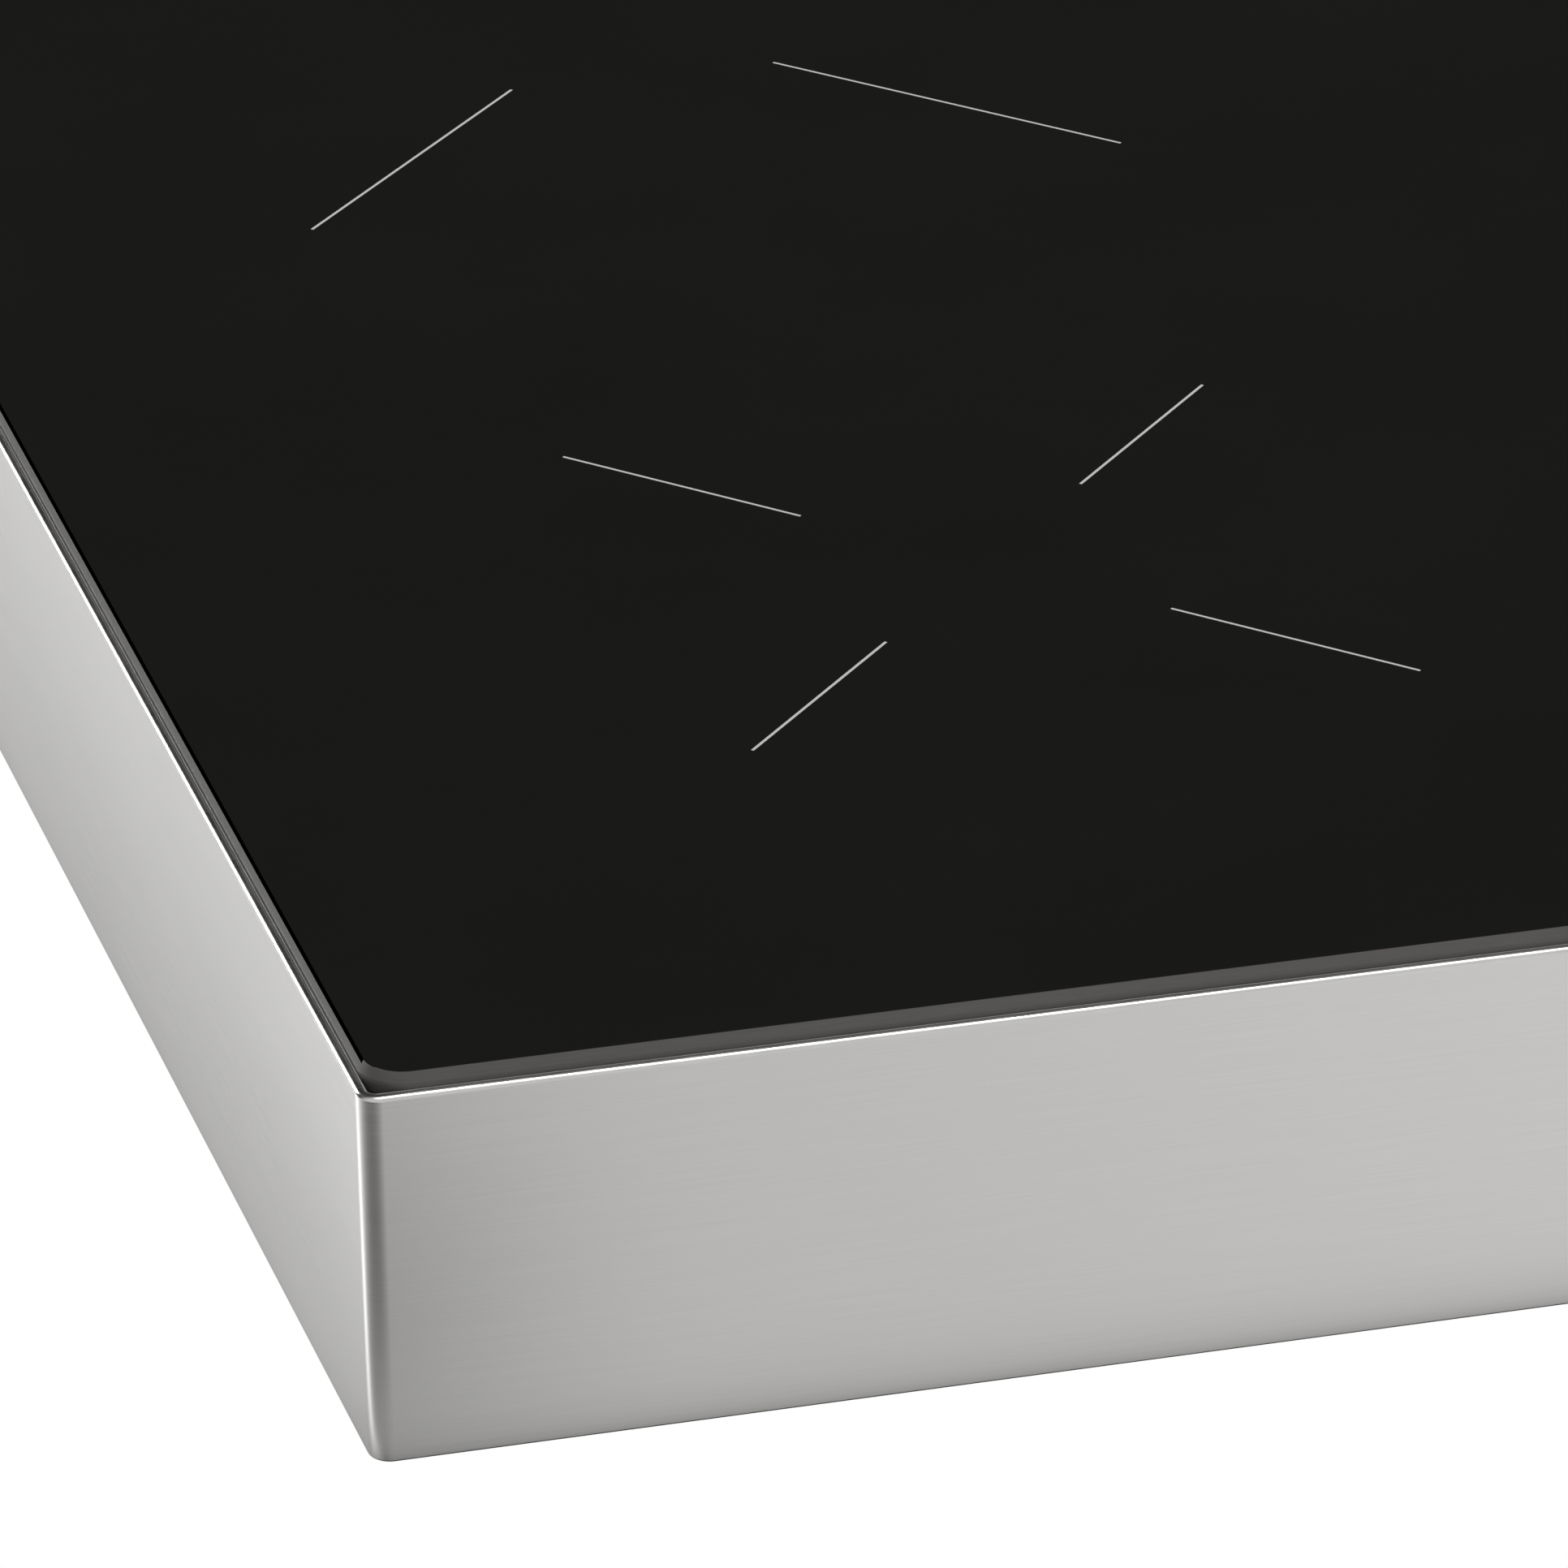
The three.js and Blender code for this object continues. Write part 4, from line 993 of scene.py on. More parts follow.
class COOKTOP_OT_tray(bpy.types.Operator):
    """Makes the bottom tray with its air slots and standoffs, and the four rubber feet"""

    bl_idname = "cooktop.tray"
    bl_label = "Tray and feet"

    def execute(self, context):
        self.tray()
        self.standoffs()
        for end in ENDS:
            for side in SIDES:
                self.foot(f"foot_{end}_{side}")
        return {"FINISHED"}

    def tray(self):
        low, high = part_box("bottom_tray")
        thick, bend = 1 * MM, 0.9 * MM
        rim_top = low.z + thick + 5 * MM
        profile = [(bend - bend * math.cos(a), low.z + bend - bend * math.sin(a))
                   for a in (math.pi / 2, math.pi / 3, math.pi / 6, 0)]
        profile += [(0.02 * MM, rim_top), (thick, rim_top), (thick, low.z + thick)]
        tray = sweep("tray", [plan_loop(high, inset, 2 * MM, z, 8) for inset, z in profile],
                     [galvanised_sheet()])
        fans = [middle(f"fan_wheel_{side}") for side in SIDES]
        cut_away(tray, grow(
            "inlet_cutter", inlet_slots, galvanised_sheet(),
            [(fan.x, fan.y, low.z + thick / 2) for fan in fans],
            radius=reach_of("fan_wheel_left") - 9 * MM, margin=4.5 * MM, slot=3 * MM,
            depth=4 * thick, number=7))
        soften(tray)
        keep(tray, "galvanised", "bottom_tray")

    def standoffs(self):
        """Pressed standoffs and the screws that hold the boards to them."""
        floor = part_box("bottom_tray")[0].z + 0.8 * MM
        under_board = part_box("filter_board")[0].z - GAP
        posts, heads, inset = Solid(), [], 8 * MM
        for board in ("power_board_left", "power_board_right", "filter_board"):
            low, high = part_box(board)
            for x in (low.x + inset, high.x - inset):
                for y in (low.y + inset, high.y - inset):
                    heads.append((x, y, low.z + CARD))
                    posts.bar(x, y, 4 * MM, floor, under_board, sides=32)
        keep(posts.piece("standoffs", galvanised_sheet()), "galvanised")
        screws("board_screws", heads)

    def foot(self, name):
        low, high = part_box(name)
        spot, radius, recess = middle(name), reach_of(name), 4.6
        edge = radius / MM
        # Radius and height above the floor, in mm: screw recess, drip groove, rounded skirt.
        under = [
            (0, 3.2), (recess, 3.2), (recess, 0.4), (recess + 0.4, 0), (edge - 4.2, 0),
            (edge - 4.0, 0.5), (edge - 3.2, 0.5), (edge - 3.0, 0), (edge - 2.0, 0),
            (edge - 0.6, 0.6), (edge, 2.0),
        ]
        profile = [(r * MM, low.z + z * MM) for r, z in under]
        profile += [(radius, high.z - 0.5 * MM), (radius - 0.5 * MM, high.z), (0, high.z)]
        foot = Solid().turned(spot.x, spot.y, profile, 72)
        keep(foot.piece(name + "_rubber", foot_rubber(), smooth_degrees=35), "rubber", name)
        screws(name + "_screw", [(spot.x, spot.y, low.z + 3.1 * MM)], 3.4, 1.6, True)


# ------------------------------------------------------------------ coils


def litz_windings(tree, wire, inner, outer, layer):
    """A flat two-layer spiral of litz wire; each point marks the lower layer."""
    half = wire * 0.5
    first, last = inner + half, outer - half
    lower = coiled(tree, half, 8, 44, (last - first) / (wire * 1.02), first, last, 0.0)
    return joined(lower, moved(lower, z=layer))


def ferrite_bars(tree, number, start, end, width, height):
    """Ferrite bars round a hub."""
    bar = moved(slab(tree, end - start, width, height, 0.8 * MM), (start + end) * 0.5)
    hub = moved(hoop(tree, start, 9 * MM, height, 48), z=height * 0.5)
    return joined(ring_of(bar, number, 0.5), hub)


def coil_springs(tree, radius, wire, length, turns):
    """A compression spring with closed ends."""
    coil = length - wire * 2.0
    helix = coiled(tree, wire, 10, 28, turns, radius, radius, coil - wire * 4.0)
    end = coiled(tree, wire, 10, 28, 1.0, radius, radius, wire * 2.0)
    return joined(moved(helix, z=wire * 3.0), moved(end, z=wire), moved(end, z=coil - wire))


class COOKTOP_OT_coils(bpy.types.Operator):
    """Makes the four induction coils: carrier, litz winding, ferrites, mica and glass sensor"""

    bl_idname = "cooktop.coils"
    bl_label = "Induction coils"

    def execute(self, context):
        c = context.scene.cooktop_coils
        for zone in ZONES:
            body = f"coil_{zone}"
            self.carrier(zone, body)
            self.winding(c, zone, body)
            self.ferrites(c, zone, body)
            self.mica(zone, body)
            self.sensor(zone, body)
        return {"FINISHED"}

    def carrier(self, zone, body):
        name = f"coil_carrier_{zone}"
        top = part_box(name)[1].z
        spot = middle(f"mica_disc_{zone}")
        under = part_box(f"ferrite_star_{zone}")[1].z + GAP
        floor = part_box(f"coil_winding_{zone}")[0].z - GAP
        outer = reach_of(f"coil_winding_{zone}") + 1.8 * MM
        inner = outer - 1.5 * MM
        hole = 5.5 * MM
        profile = [
            (hole, under), (outer - 0.8 * MM, under), (outer, under + 0.8 * MM),
            (outer, top - 0.4 * MM), (outer - 0.4 * MM, top), (inner + 0.3 * MM, top),
            (inner, top - 0.3 * MM), (inner, floor + 0.6 * MM), (inner - 0.6 * MM, floor),
            (hole, floor), (hole, under),
        ]
        dish = Solid().turned(spot.x, spot.y, profile, 128)
        keep(dish.piece(f"carrier_{zone}", grey_moulding(), smooth_degrees=35),
             "grey_plastic", name, body=body)
        bosses = Solid()
        for index in (1, 2, 3):
            boss = middle(f"coil_spring_{zone}_{index}")
            bosses.bar(boss.x, boss.y, 3 * MM, under - 3 * MM, under + 1 * MM, bevel=0.4 * MM)
        keep(bosses.piece(f"carrier_bosses_{zone}", grey_moulding()), "grey_plastic", body=body)

    def winding(self, c, zone, body):
        name = f"coil_winding_{zone}"
        low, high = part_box(name)
        spot = middle(name)
        piece = grow(f"winding_{zone}", litz_windings, litz_copper(),
                     [(spot.x, spot.y, low.z + c.wire / 2)], 60, wire=c.wire, inner=c.hole,
                     outer=reach_of(name) - GAP, layer=(high.z - low.z - c.wire) * 0.98)
        keep(piece, "litz_copper", name, body=body)

    def ferrites(self, c, zone, body):
        name = f"ferrite_star_{zone}"
        low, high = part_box(name)
        spot = middle(f"coil_winding_{zone}")
        winding = reach_of(f"coil_winding_{zone}")
        piece = grow(f"ferrites_{zone}", ferrite_bars, sintered_ferrite(),
                     [(spot.x, spot.y, low.z)], number=9 if winding > 90 * MM else 6,
                     start=17.5 * MM, end=winding - GAP, width=c.ferrite_width,
                     height=high.z - low.z)
        keep(piece, "ferrite", name, body=body)

    def mica(self, zone, body):
        name = f"mica_disc_{zone}"
        low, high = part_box(name)
        spot, radius, edge, hole = middle(name), reach_of(name), 0.12 * MM, 8 * MM
        profile = [
            (hole, low.z), (radius - edge, low.z), (radius, low.z + edge),
            (radius, high.z - edge), (radius - edge, high.z), (hole, high.z), (hole, low.z),
        ]
        disc = Solid().turned(spot.x, spot.y, profile, 128)
        keep(disc.piece(f"mica_{zone}", pressed_mica(), smooth_degrees=35), "mica", name,
             body=body)

    def sensor(self, zone, body):
        """A sprung feeler: ceramic head with a cemented bead, moulded collar and two leads."""
        name = f"glass_sensor_{zone}"
        low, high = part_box(name)
        spot = middle(name)
        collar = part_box(f"coil_winding_{zone}")[0].z
        # Radius, the height it is measured from, and the height above it, in mm.
        steps = [
            (0, low.z, 1.5), (3.4, low.z, 1.5), (4, low.z, 2.1), (4, collar, 0),
            (9.4, collar, 0), (10, collar, 0.4), (10, collar, 0.9), (9.7, collar, 1.2),
            (6.5, collar, 1.2), (6.5, high.z, -3), (6.0, high.z, -2.8), (6.0, high.z, -2.2),
            (6.5, high.z, -2), (6.5, high.z, -0.6), (5.9, high.z, 0), (0, high.z, 0),
        ]
        feeler = Solid().turned(spot.x, spot.y, [(r * MM, z + up * MM) for r, z, up in steps])
        keep(feeler.piece(f"sensor_{zone}", steatite(), smooth_degrees=35), "ceramic", name,
             body=body)
        leads = Solid()
        for dx in (-1.4 * MM, 1.4 * MM):
            leads.bar(spot.x + dx, spot.y, 0.7 * MM, low.z, low.z + 2.5 * MM, sides=12)
        keep(leads.piece(f"sensor_leads_{zone}", ceramic_fibre()), "ceramic", body=body)


class COOKTOP_OT_springs(bpy.types.Operator):
    """Makes the springs that press the coils up"""

    bl_idname = "cooktop.springs"
    bl_label = "Coil springs"

    def execute(self, context):
        c = context.scene.cooktop_coils
        for zone in ZONES:
            names = [f"coil_spring_{zone}_{index}" for index in (1, 2, 3)]
            low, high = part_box(names[0])
            tall = high.z - low.z
            piece = grow(f"springs_{zone}", coil_springs, spring_steel(),
                         [(middle(n).x, middle(n).y, low.z) for n in names], 60,
                         radius=c.spring_radius, wire=c.spring_wire, length=tall,
                         turns=float(c.spring_turns))
            keep(piece, "spring_steel", *names)
            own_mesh(piece)
        return {"FINISHED"}


class COOKTOP_OT_shelves(bpy.types.Operator):
    """Makes the insulation mats over the coils and the plates under them"""

    bl_idname = "cooktop.shelves"
    bl_label = "Mats and support plates"

    def execute(self, context):
        for side in SIDES:
            self.mat(side)
            self.plate(side)
        return {"FINISHED"}

    def mat(self, side):
        name = f"insulation_mat_{side}"
        low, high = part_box(name)
        edge, worn = 0.9 * MM, 0.25 * MM
        profile = [(edge, low.z), (worn, low.z + worn), (0, low.z + edge),
                   (0, high.z - edge), (worn, high.z - worn), (edge, high.z)]
        mat = sweep(f"mat_{side}", [plan_loop((high - low) / 2, inset, 3 * MM, z, 6, middle(name))
                                    for inset, z in profile], [ceramic_fibre()])
        holes = Solid()
        for end in ENDS:
            spot = middle(f"mica_disc_{end}_{side}")
            holes.bar(spot.x, spot.y, 8 * MM, low.z - 1 * MM, high.z + 1 * MM, sides=48)
        cut_away(mat, holes.piece("hole_cutter", ceramic_fibre()))
        soften(mat)
        keep(mat, "ceramic_fibre", name)

    def plate(self, side):
        """A folded plate on four legs, which carries the spring posts."""
        name = f"support_plate_{side}"
        low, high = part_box(name)
        thick, edge = 1.2 * MM, 0.25 * MM
        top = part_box(f"coil_spring_front_{side}_1")[0].z - GAP
        plate = Solid().box((low.x, low.y, top - thick), (high.x, high.y, top), bevel=edge)
        for x in (low.x, high.x - thick):
            for y in (low.y + 24 * MM, high.y - 92 * MM):
                plate.box((x, y, low.z), (x + thick, y + 12 * MM, top - 0.1 * MM), bevel=edge)
        for end in ENDS:
            for index in (1, 2, 3):
                spot = middle(f"coil_spring_{end}_{side}_{index}")
                plate.bar(spot.x, spot.y, 3 * MM, top - thick, top + 5 * MM, bevel=0.5 * MM)
        keep(plate.piece(f"plate_{side}", mill_aluminium()), "aluminium", name)


# ------------------------------------------------------------------ power side


def heat_sink_fins(tree, width, length, height, base, number, fin):
    """An extruded heat sink: a base and a row of fins along Y."""
    sunk = 0.2 * MM
    comb = row_of(slab(tree, fin, length, height - base + sunk, 0.4 * MM), number,
                  (width - fin) / (number - 1.0))
    return joined(slab(tree, width, length, base, 0.4 * MM), moved(comb, z=base - sunk))


def blower_wheels(tree, radius, height, hub, ring, thickness, number, chord, blade, lean):
    """A blower wheel: web, hub, lower ring and forward-leaning blades."""
    tall, half, low = height - thickness, height * 0.5, thickness * 0.5
    circle_radius = radius - ring * 0.5
    web = round_bar(tree, radius, thickness, 96, tall)
    boss = round_bar(tree, hub, half, 48, half)
    rim = moved(hoop(tree, circle_radius, ring, thickness, 96), z=low)
    leaned = moved(slab(tree, chord, blade, tall, 0.2 * MM), circle_radius, 0.0, low,
                   xyz(tree, z=lean))
    return joined(web, boss, rim, ring_of(leaned, number))


def choke_turns(tree, radius, section, wire, number):
    """The copper turns of a toroid choke."""
    turn = hoop(tree, section, wire, wire, 16)
    return ring_of(moved(turn, radius, turn=(math.pi / 2, 0, 0)), number)


def pin_rows(tree, pin, height, pitch, number):
    """A row of square pins."""
    return row_of(slab(tree, pin, pin, height, 0.1 * MM, 2), number, pitch)


def choke(name, x, y, bottom, radius, section):
    """A toroid choke: varnished core and copper turns."""
    core = [(radius + dx, bottom + section + dz) for dx, dz in circle(section * 0.82, 14)]
    torus = Solid().turned(x, y, core + core[:1], 40)
    keep(torus.piece(f"{name}_core", ferrite_choke(), smooth_degrees=60), "ferrite")
    wire = 1.1 * MM
    keep(grow(f"{name}_turns", choke_turns, litz_copper(), [(x, y, bottom + section)], 60,
              radius=radius, section=section - wire * 0.6, wire=wire, number=26), "litz_copper")


class COOKTOP_OT_power(bpy.types.Operator):
    """Makes the two power boards with their parts and heat sinks"""

    bl_idname = "cooktop.power"
    bl_label = "Power boards"

    # Parts of a board: kind, place from its middle, half width, half length and height in mm.
    PARTS = [
        ("film", 62, -70, 17, 12, 15), ("film", 62, -38, 17, 12, 15),
        ("cans", 62, 2, 21, 13, 14), ("toroid", -66, -66, 15, 15, 13),
        ("relay", -66, -22, 13, 10, 12), ("transformer", -66, 30, 16, 14, 14),
        ("terminals", 60, 60, 10, 6, 10), ("header", -10, 80, 20, 5, 8),
    ]
    # Materials of a board's mesh, by index.
    BOARD, FILM, SLEEVE, BLACK, GREY, ZINC = range(6)

    def execute(self, context):
        p = context.scene.cooktop_power
        for side in SIDES:
            self.board(side)
            self.sink(p, side)
        return {"FINISHED"}

    def board(self, side):
        name = f"power_board_{side}"
        low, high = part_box(name)
        spot = middle(name)
        top = low.z + CARD
        mesh = Solid().box(low, (high.x, high.y, top), self.BOARD, 0.2 * MM)
        for kind, dx, dy, *size in self.PARTS:
            getattr(self, kind)(mesh, spot.x + dx * MM, spot.y + dy * MM, top,
                                *[value * MM for value in size], side)
        # Small parts in a plain grid where nothing tall stands.
        for i in range(9):
            for j in range(4):
                x = spot.x + (-96 + 3.2 * (i % 3) + 6.5 * (j % 2)) * MM
                y = spot.y + (-94 + 21 * i + 4.5 * j) * MM
                mesh.box((x, y, top), (x + 2 * MM, y + 1.2 * MM, top + 0.6 * MM),
                         self.BLACK if (i + j) % 2 else self.ZINC)
        keep(mesh.piece(f"board_{side}", circuit_board(), capacitor_film(), capacitor_sleeve(),
                        black_moulding(), grey_moulding(), zinc_plated()),
             "circuit_board", name)

    def film(self, mesh, x, y, z, w, d, h, side):
        mesh.block(x, y, w, d, z, z + h, self.FILM, 0.8 * MM)

    def cans(self, mesh, x, y, z, w, d, h, side):
        """Smoothing capacitors standing in two rows."""
        radius = min(d / 2, w / 3) * 0.96
        pitch = radius * 1.04
        for dx in (-2, 0, 2):
            for dy in (-1, 1):
                spot = (x + dx * pitch, y + dy * pitch)
                mesh.bar(*spot, radius, z, z + h, self.SLEEVE, 32, 0.7 * MM)
                mesh.bar(*spot, radius * 0.78, z + h - 0.3 * MM, z + h + 0.02 * MM, self.ZINC, 32)

    def toroid(self, mesh, x, y, z, w, d, h, side):
        choke(f"input_choke_{side}", x, y, z, w - h / 2, h / 2)

    def relay(self, mesh, x, y, z, w, d, h, side):
        mesh.block(x, y, w, d, z + 0.4 * MM, z + h, self.BLACK, 0.6 * MM)

    def transformer(self, mesh, x, y, z, w, d, h, side):
        """Laminated core round a taped bobbin."""
        for sign in (-1, 1):
            mesh.block(x + sign * w * 0.85, y, w * 0.15, d, z + 1 * MM, z + h, self.ZINC,
                       0.3 * MM)
        mesh.block(x, y, w, d * 0.3, z + 1 * MM, z + h, self.ZINC, 0.3 * MM)
        mesh.block(x, y, w * 0.64, d * 0.96, z, z + h * 0.9, self.FILM, 2 * MM)

    def terminals(self, mesh, x, y, z, w, d, h, side):
        """Two blade terminals for the coil's leads."""
        for cx in (x - w / 2, x + w / 2):
            mesh.block(cx, y, w * 0.4, d, z, z + h * 0.4, self.GREY, 0.4 * MM)
            mesh.block(cx, y, 3.1 * MM, 0.4 * MM, z, z + h, self.ZINC, 0.15 * MM)

    def header(self, mesh, x, y, z, w, d, h, side):
        """Signal connector: an open box with a row of pins."""
        half = 0.45 * MM
        for dx, dy, half_x, half_y in ((0, half - d, w, half), (0, d - half, w, half),
                                       (half - w, 0, half, d), (w - half, 0, half, d)):
            mesh.block(x + dx, y + dy, half_x, half_y, z, z + h, self.GREY, 0.2 * MM)
        mesh.block(x, y, w, d, z, z + 1.5 * MM, self.GREY)
        keep(grow(f"header_pins_{side}", pin_rows, zinc_plated(), [(x, y, z + 1 * MM)],
                  pin=0.8 * MM, height=6 * MM, pitch=2.5 * MM, number=14), "spring_steel")

    def sink(self, p, side):
        name = f"heat_sink_{side}"
        low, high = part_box(name)
        spot = middle(name)
        wide, deep, tall = high - low
        keep(grow(f"sink_{side}", heat_sink_fins, extruded_aluminium(),
                  [(spot.x, spot.y, low.z)], width=wide, length=deep, height=tall, base=4 * MM,
                  number=p.fins, fin=p.fin_thick), "aluminium", name)
        switches = Solid()
        for k in range(4):
            y = low.y + (0.14 + 0.24 * k) * deep
            switches.box((high.x + 0.2 * MM, y - 8 * MM, low.z + 1.5 * MM),
                         (high.x + 5 * MM, y + 8 * MM, high.z - 1 * MM), 0, 0.4 * MM)
        keep(switches.piece(f"power_switches_{side}", black_moulding()), "black_plastic")


class COOKTOP_OT_fans(bpy.types.Operator):
    """Makes the two radial blowers: scroll housing, motor, shaft and wheel"""

    bl_idname = "cooktop.fans"
    bl_label = "Cooling fans"

    def execute(self, context):
        p = context.scene.cooktop_power
        for side in SIDES:
            self.housing(side)
            self.wheel(p, side)
        return {"FINISHED"}

    def plan(self, small, growth, wall, outlet):
        """The scroll's plan: outlet to the back, then a spiral that widens from the tongue."""
        start = math.radians(60)
        inner = small * math.cos(start) - wall
        points = [(small + growth + wall, outlet), (inner, outlet),
                  (inner, (small + wall) * math.sin(start))]
        steps = 60
        for i in range(1, steps + 1):
            a = start + (2 * math.pi - start) * i / steps
            radius = small + wall + growth * i / steps
            points.append((radius * math.cos(a), radius * math.sin(a)))
        return points

    def scroll(self, name, centre, points, z0, z1, edge=0.0):
        solid = Solid()
        mesh = solid.mesh
        face = mesh.faces.new([
            mesh.verts.new((centre.x + x, centre.y + y, z0)) for x, y in points])
        made = bmesh.ops.extrude_face_region(mesh, geom=[face])
        raised = [v for v in made["geom"] if isinstance(v, bmesh.types.BMVert)]
        bmesh.ops.translate(mesh, vec=(0, 0, z1 - z0), verts=raised)
        bmesh.ops.recalc_face_normals(mesh, faces=mesh.faces[:])
        if edge:
            rims = [e for e in mesh.edges if abs(e.verts[0].co.z - e.verts[1].co.z) < 1e-7]
            bmesh.ops.bevel(mesh, geom=rims, offset=edge, segments=2, affect="EDGES")
        return solid.piece(name, black_moulding())

    def housing(self, side):
        name = f"fan_housing_{side}"
        low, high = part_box(name)
        axis = middle(f"fan_wheel_{side}")
        wheel = reach_of(f"fan_wheel_{side}")
        wall, room, growth = 1.5 * MM, 3 * MM, 10 * MM
        small, outlet = wheel + room, high.y - axis.y
        shell = self.scroll(f"scroll_{side}", axis, self.plan(small, growth, wall, outlet),
                            low.z, high.z, 0.5 * MM)
        cut_away(shell, self.scroll(
            "room_cutter", axis, self.plan(small, growth, 0, outlet + 2 * MM), low.z + wall,
            high.z - wall))
        inlet = Solid().bar(axis.x, axis.y, wheel - 9 * MM, low.z - 1 * MM, low.z + 2 * wall,
                            sides=64)
        cut_away(shell, inlet.piece("inlet_cutter", black_moulding()))
        soften(shell)
        keep(shell, "black_plastic", name)
        top = high.z - wall
        motor = Solid().bar(axis.x, axis.y, 11 * MM, top - 5 * MM, top + 0.5 * MM, 0, 48,
                            0.5 * MM)
        motor.bar(axis.x, axis.y, 1.5 * MM, low.z + 2 * wall, top)
        keep(motor.piece(f"fan_motor_{side}", zinc_plated()), "spring_steel")

    def wheel(self, p, side):
        name = f"fan_wheel_{side}"
        low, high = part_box(name)
        spot = middle(name)
        piece = grow(f"wheel_{side}", blower_wheels, black_moulding(), [(spot.x, spot.y, low.z)],
                     radius=reach_of(name), height=high.z - low.z, hub=13 * MM, ring=8 * MM,
                     thickness=1.4 * MM, number=p.blades, chord=p.blade_chord,
                     blade=p.blade_thick, lean=p.blade_lean)
        keep(piece, "black_plastic", name, body=f"fan_{side}")


# ------------------------------------------------------------------ mains and controls


class COOKTOP_OT_mains(bpy.types.Operator):
    """Makes the filter board, the cable's grommet and clamp, and the terminal block"""

    bl_idname = "cooktop.mains"
    bl_label = "Mains side"

    def execute(self, context):
        self.filter()
        self.grommet()
        self.clamp()
        self.terminals()
        return {"FINISHED"}

    def filter(self):
        name = "filter_board"
        low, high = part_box(name)
        spot = middle(name)
        top = low.z + CARD
        mesh = Solid().box(low, (high.x, high.y, top), 0, 0.2 * MM)
        mesh.block(spot.x + 36 * MM, spot.y, 8 * MM, 15 * MM, top, top + 13 * MM, 1, 0.8 * MM)
        for dx in (-49, -45):
            mesh.block(spot.x + dx * MM, spot.y, 1 * MM, 18 * MM, top, top + 3 * MM, 2, 0.3 * MM)
        keep(mesh.piece("filter_card", circuit_board(), capacitor_film(), black_moulding()),
             "circuit_board", name)
        for side, dx in (("left", -30), ("right", 4)):
            choke(f"filter_choke_{side}", spot.x + dx * MM, spot.y, top, 7.6 * MM, 5.2 * MM)

    def grommet(self):
        """A rubber bushing turned about the cable, from its back face forwards."""
        low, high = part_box("cable_grommet")
        spot = middle("cable_grommet")
        deep = high.y - low.y
        flange, collar, bore, neck = (high.z - low.z) / 2, deep - 2.5 * MM, 4.5 * MM, 7.5 * MM
        profile = [
            (bore, deep), (flange - 0.5 * MM, deep), (flange, deep - 0.5 * MM),
            (flange, collar + 0.4 * MM), (flange - 0.4 * MM, collar), (neck, collar),
            (neck, 0.6 * MM), (neck - 0.6 * MM, 0), (bore + 0.8 * MM, 0), (bore, 0.8 * MM),
            (bore, deep),
        ]
        grommet = Solid().turned(0, 0, profile, 64)
        keep(grommet.piece("grommet", foot_rubber(), smooth_degrees=35,
                           turn=along_y(spot.x, high.y, spot.z)), "rubber", "cable_grommet")

    def clamp(self):
        low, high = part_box("cable_clamp")
        spot, axis = middle("cable_clamp"), middle("cable_grommet")
        clamp = Solid().box(low, high, 0, 0.8 * MM).piece("clamp", grey_moulding())
        hole = Solid().bar(0, 0, 4.5 * MM, -10 * MM, 10 * MM, sides=48)
        cut_away(clamp, hole.piece("passage_cutter", grey_moulding(),
                                   turn=along_y(axis.x, spot.y, axis.z)))
        soften(clamp)
        keep(clamp, "grey_plastic", "cable_clamp")
        screws("clamp_screws", [(x, spot.y, high.z - 0.2 * MM)
                                for x in (low.x + 5 * MM, high.x - 5 * MM)], 2.6, 1.5)

    def terminals(self):
        """A steatite strip with five wire wells, each with its clamping screw."""
        name = "terminal_block"
        low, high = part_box(name)
        spot = middle(name)
        poles, rib, wall = 5, 1.2 * MM, 2.5 * MM
        pitch = (high.x - low.x) / poles
        floor = high.z - 7 * MM
        strip = Solid().box(low, high, 0, 0.6 * MM).piece("terminal_strip", steatite())
        wells = Solid()
        centres = [spot.x + (i - (poles - 1) / 2) * pitch for i in range(poles)]
        for x in centres:
            wells.block(x, spot.y, pitch / 2 - rib, (high.y - low.y) / 2 - wall, floor,
                        high.z + 1 * MM)
        cut_away(strip, wells.piece("well_cutter", steatite()))
        soften(strip)
        keep(strip, "ceramic", name)
        screws("terminal_screws", [(x, spot.y, floor) for x in centres], 2.9, 2.2)


def touch_springs(tree, radius, wire, height, turns, pitch, number):
    """Light contact springs in a row, which carry each key's field up to the glass."""
    rise = height - wire * 2.0
    coil = moved(coiled(tree, wire, 8, 24, turns, radius, radius, rise), z=wire)
    return row_of(joined(coil, round_bar(tree, radius, wire, 24, rise)), number, pitch)


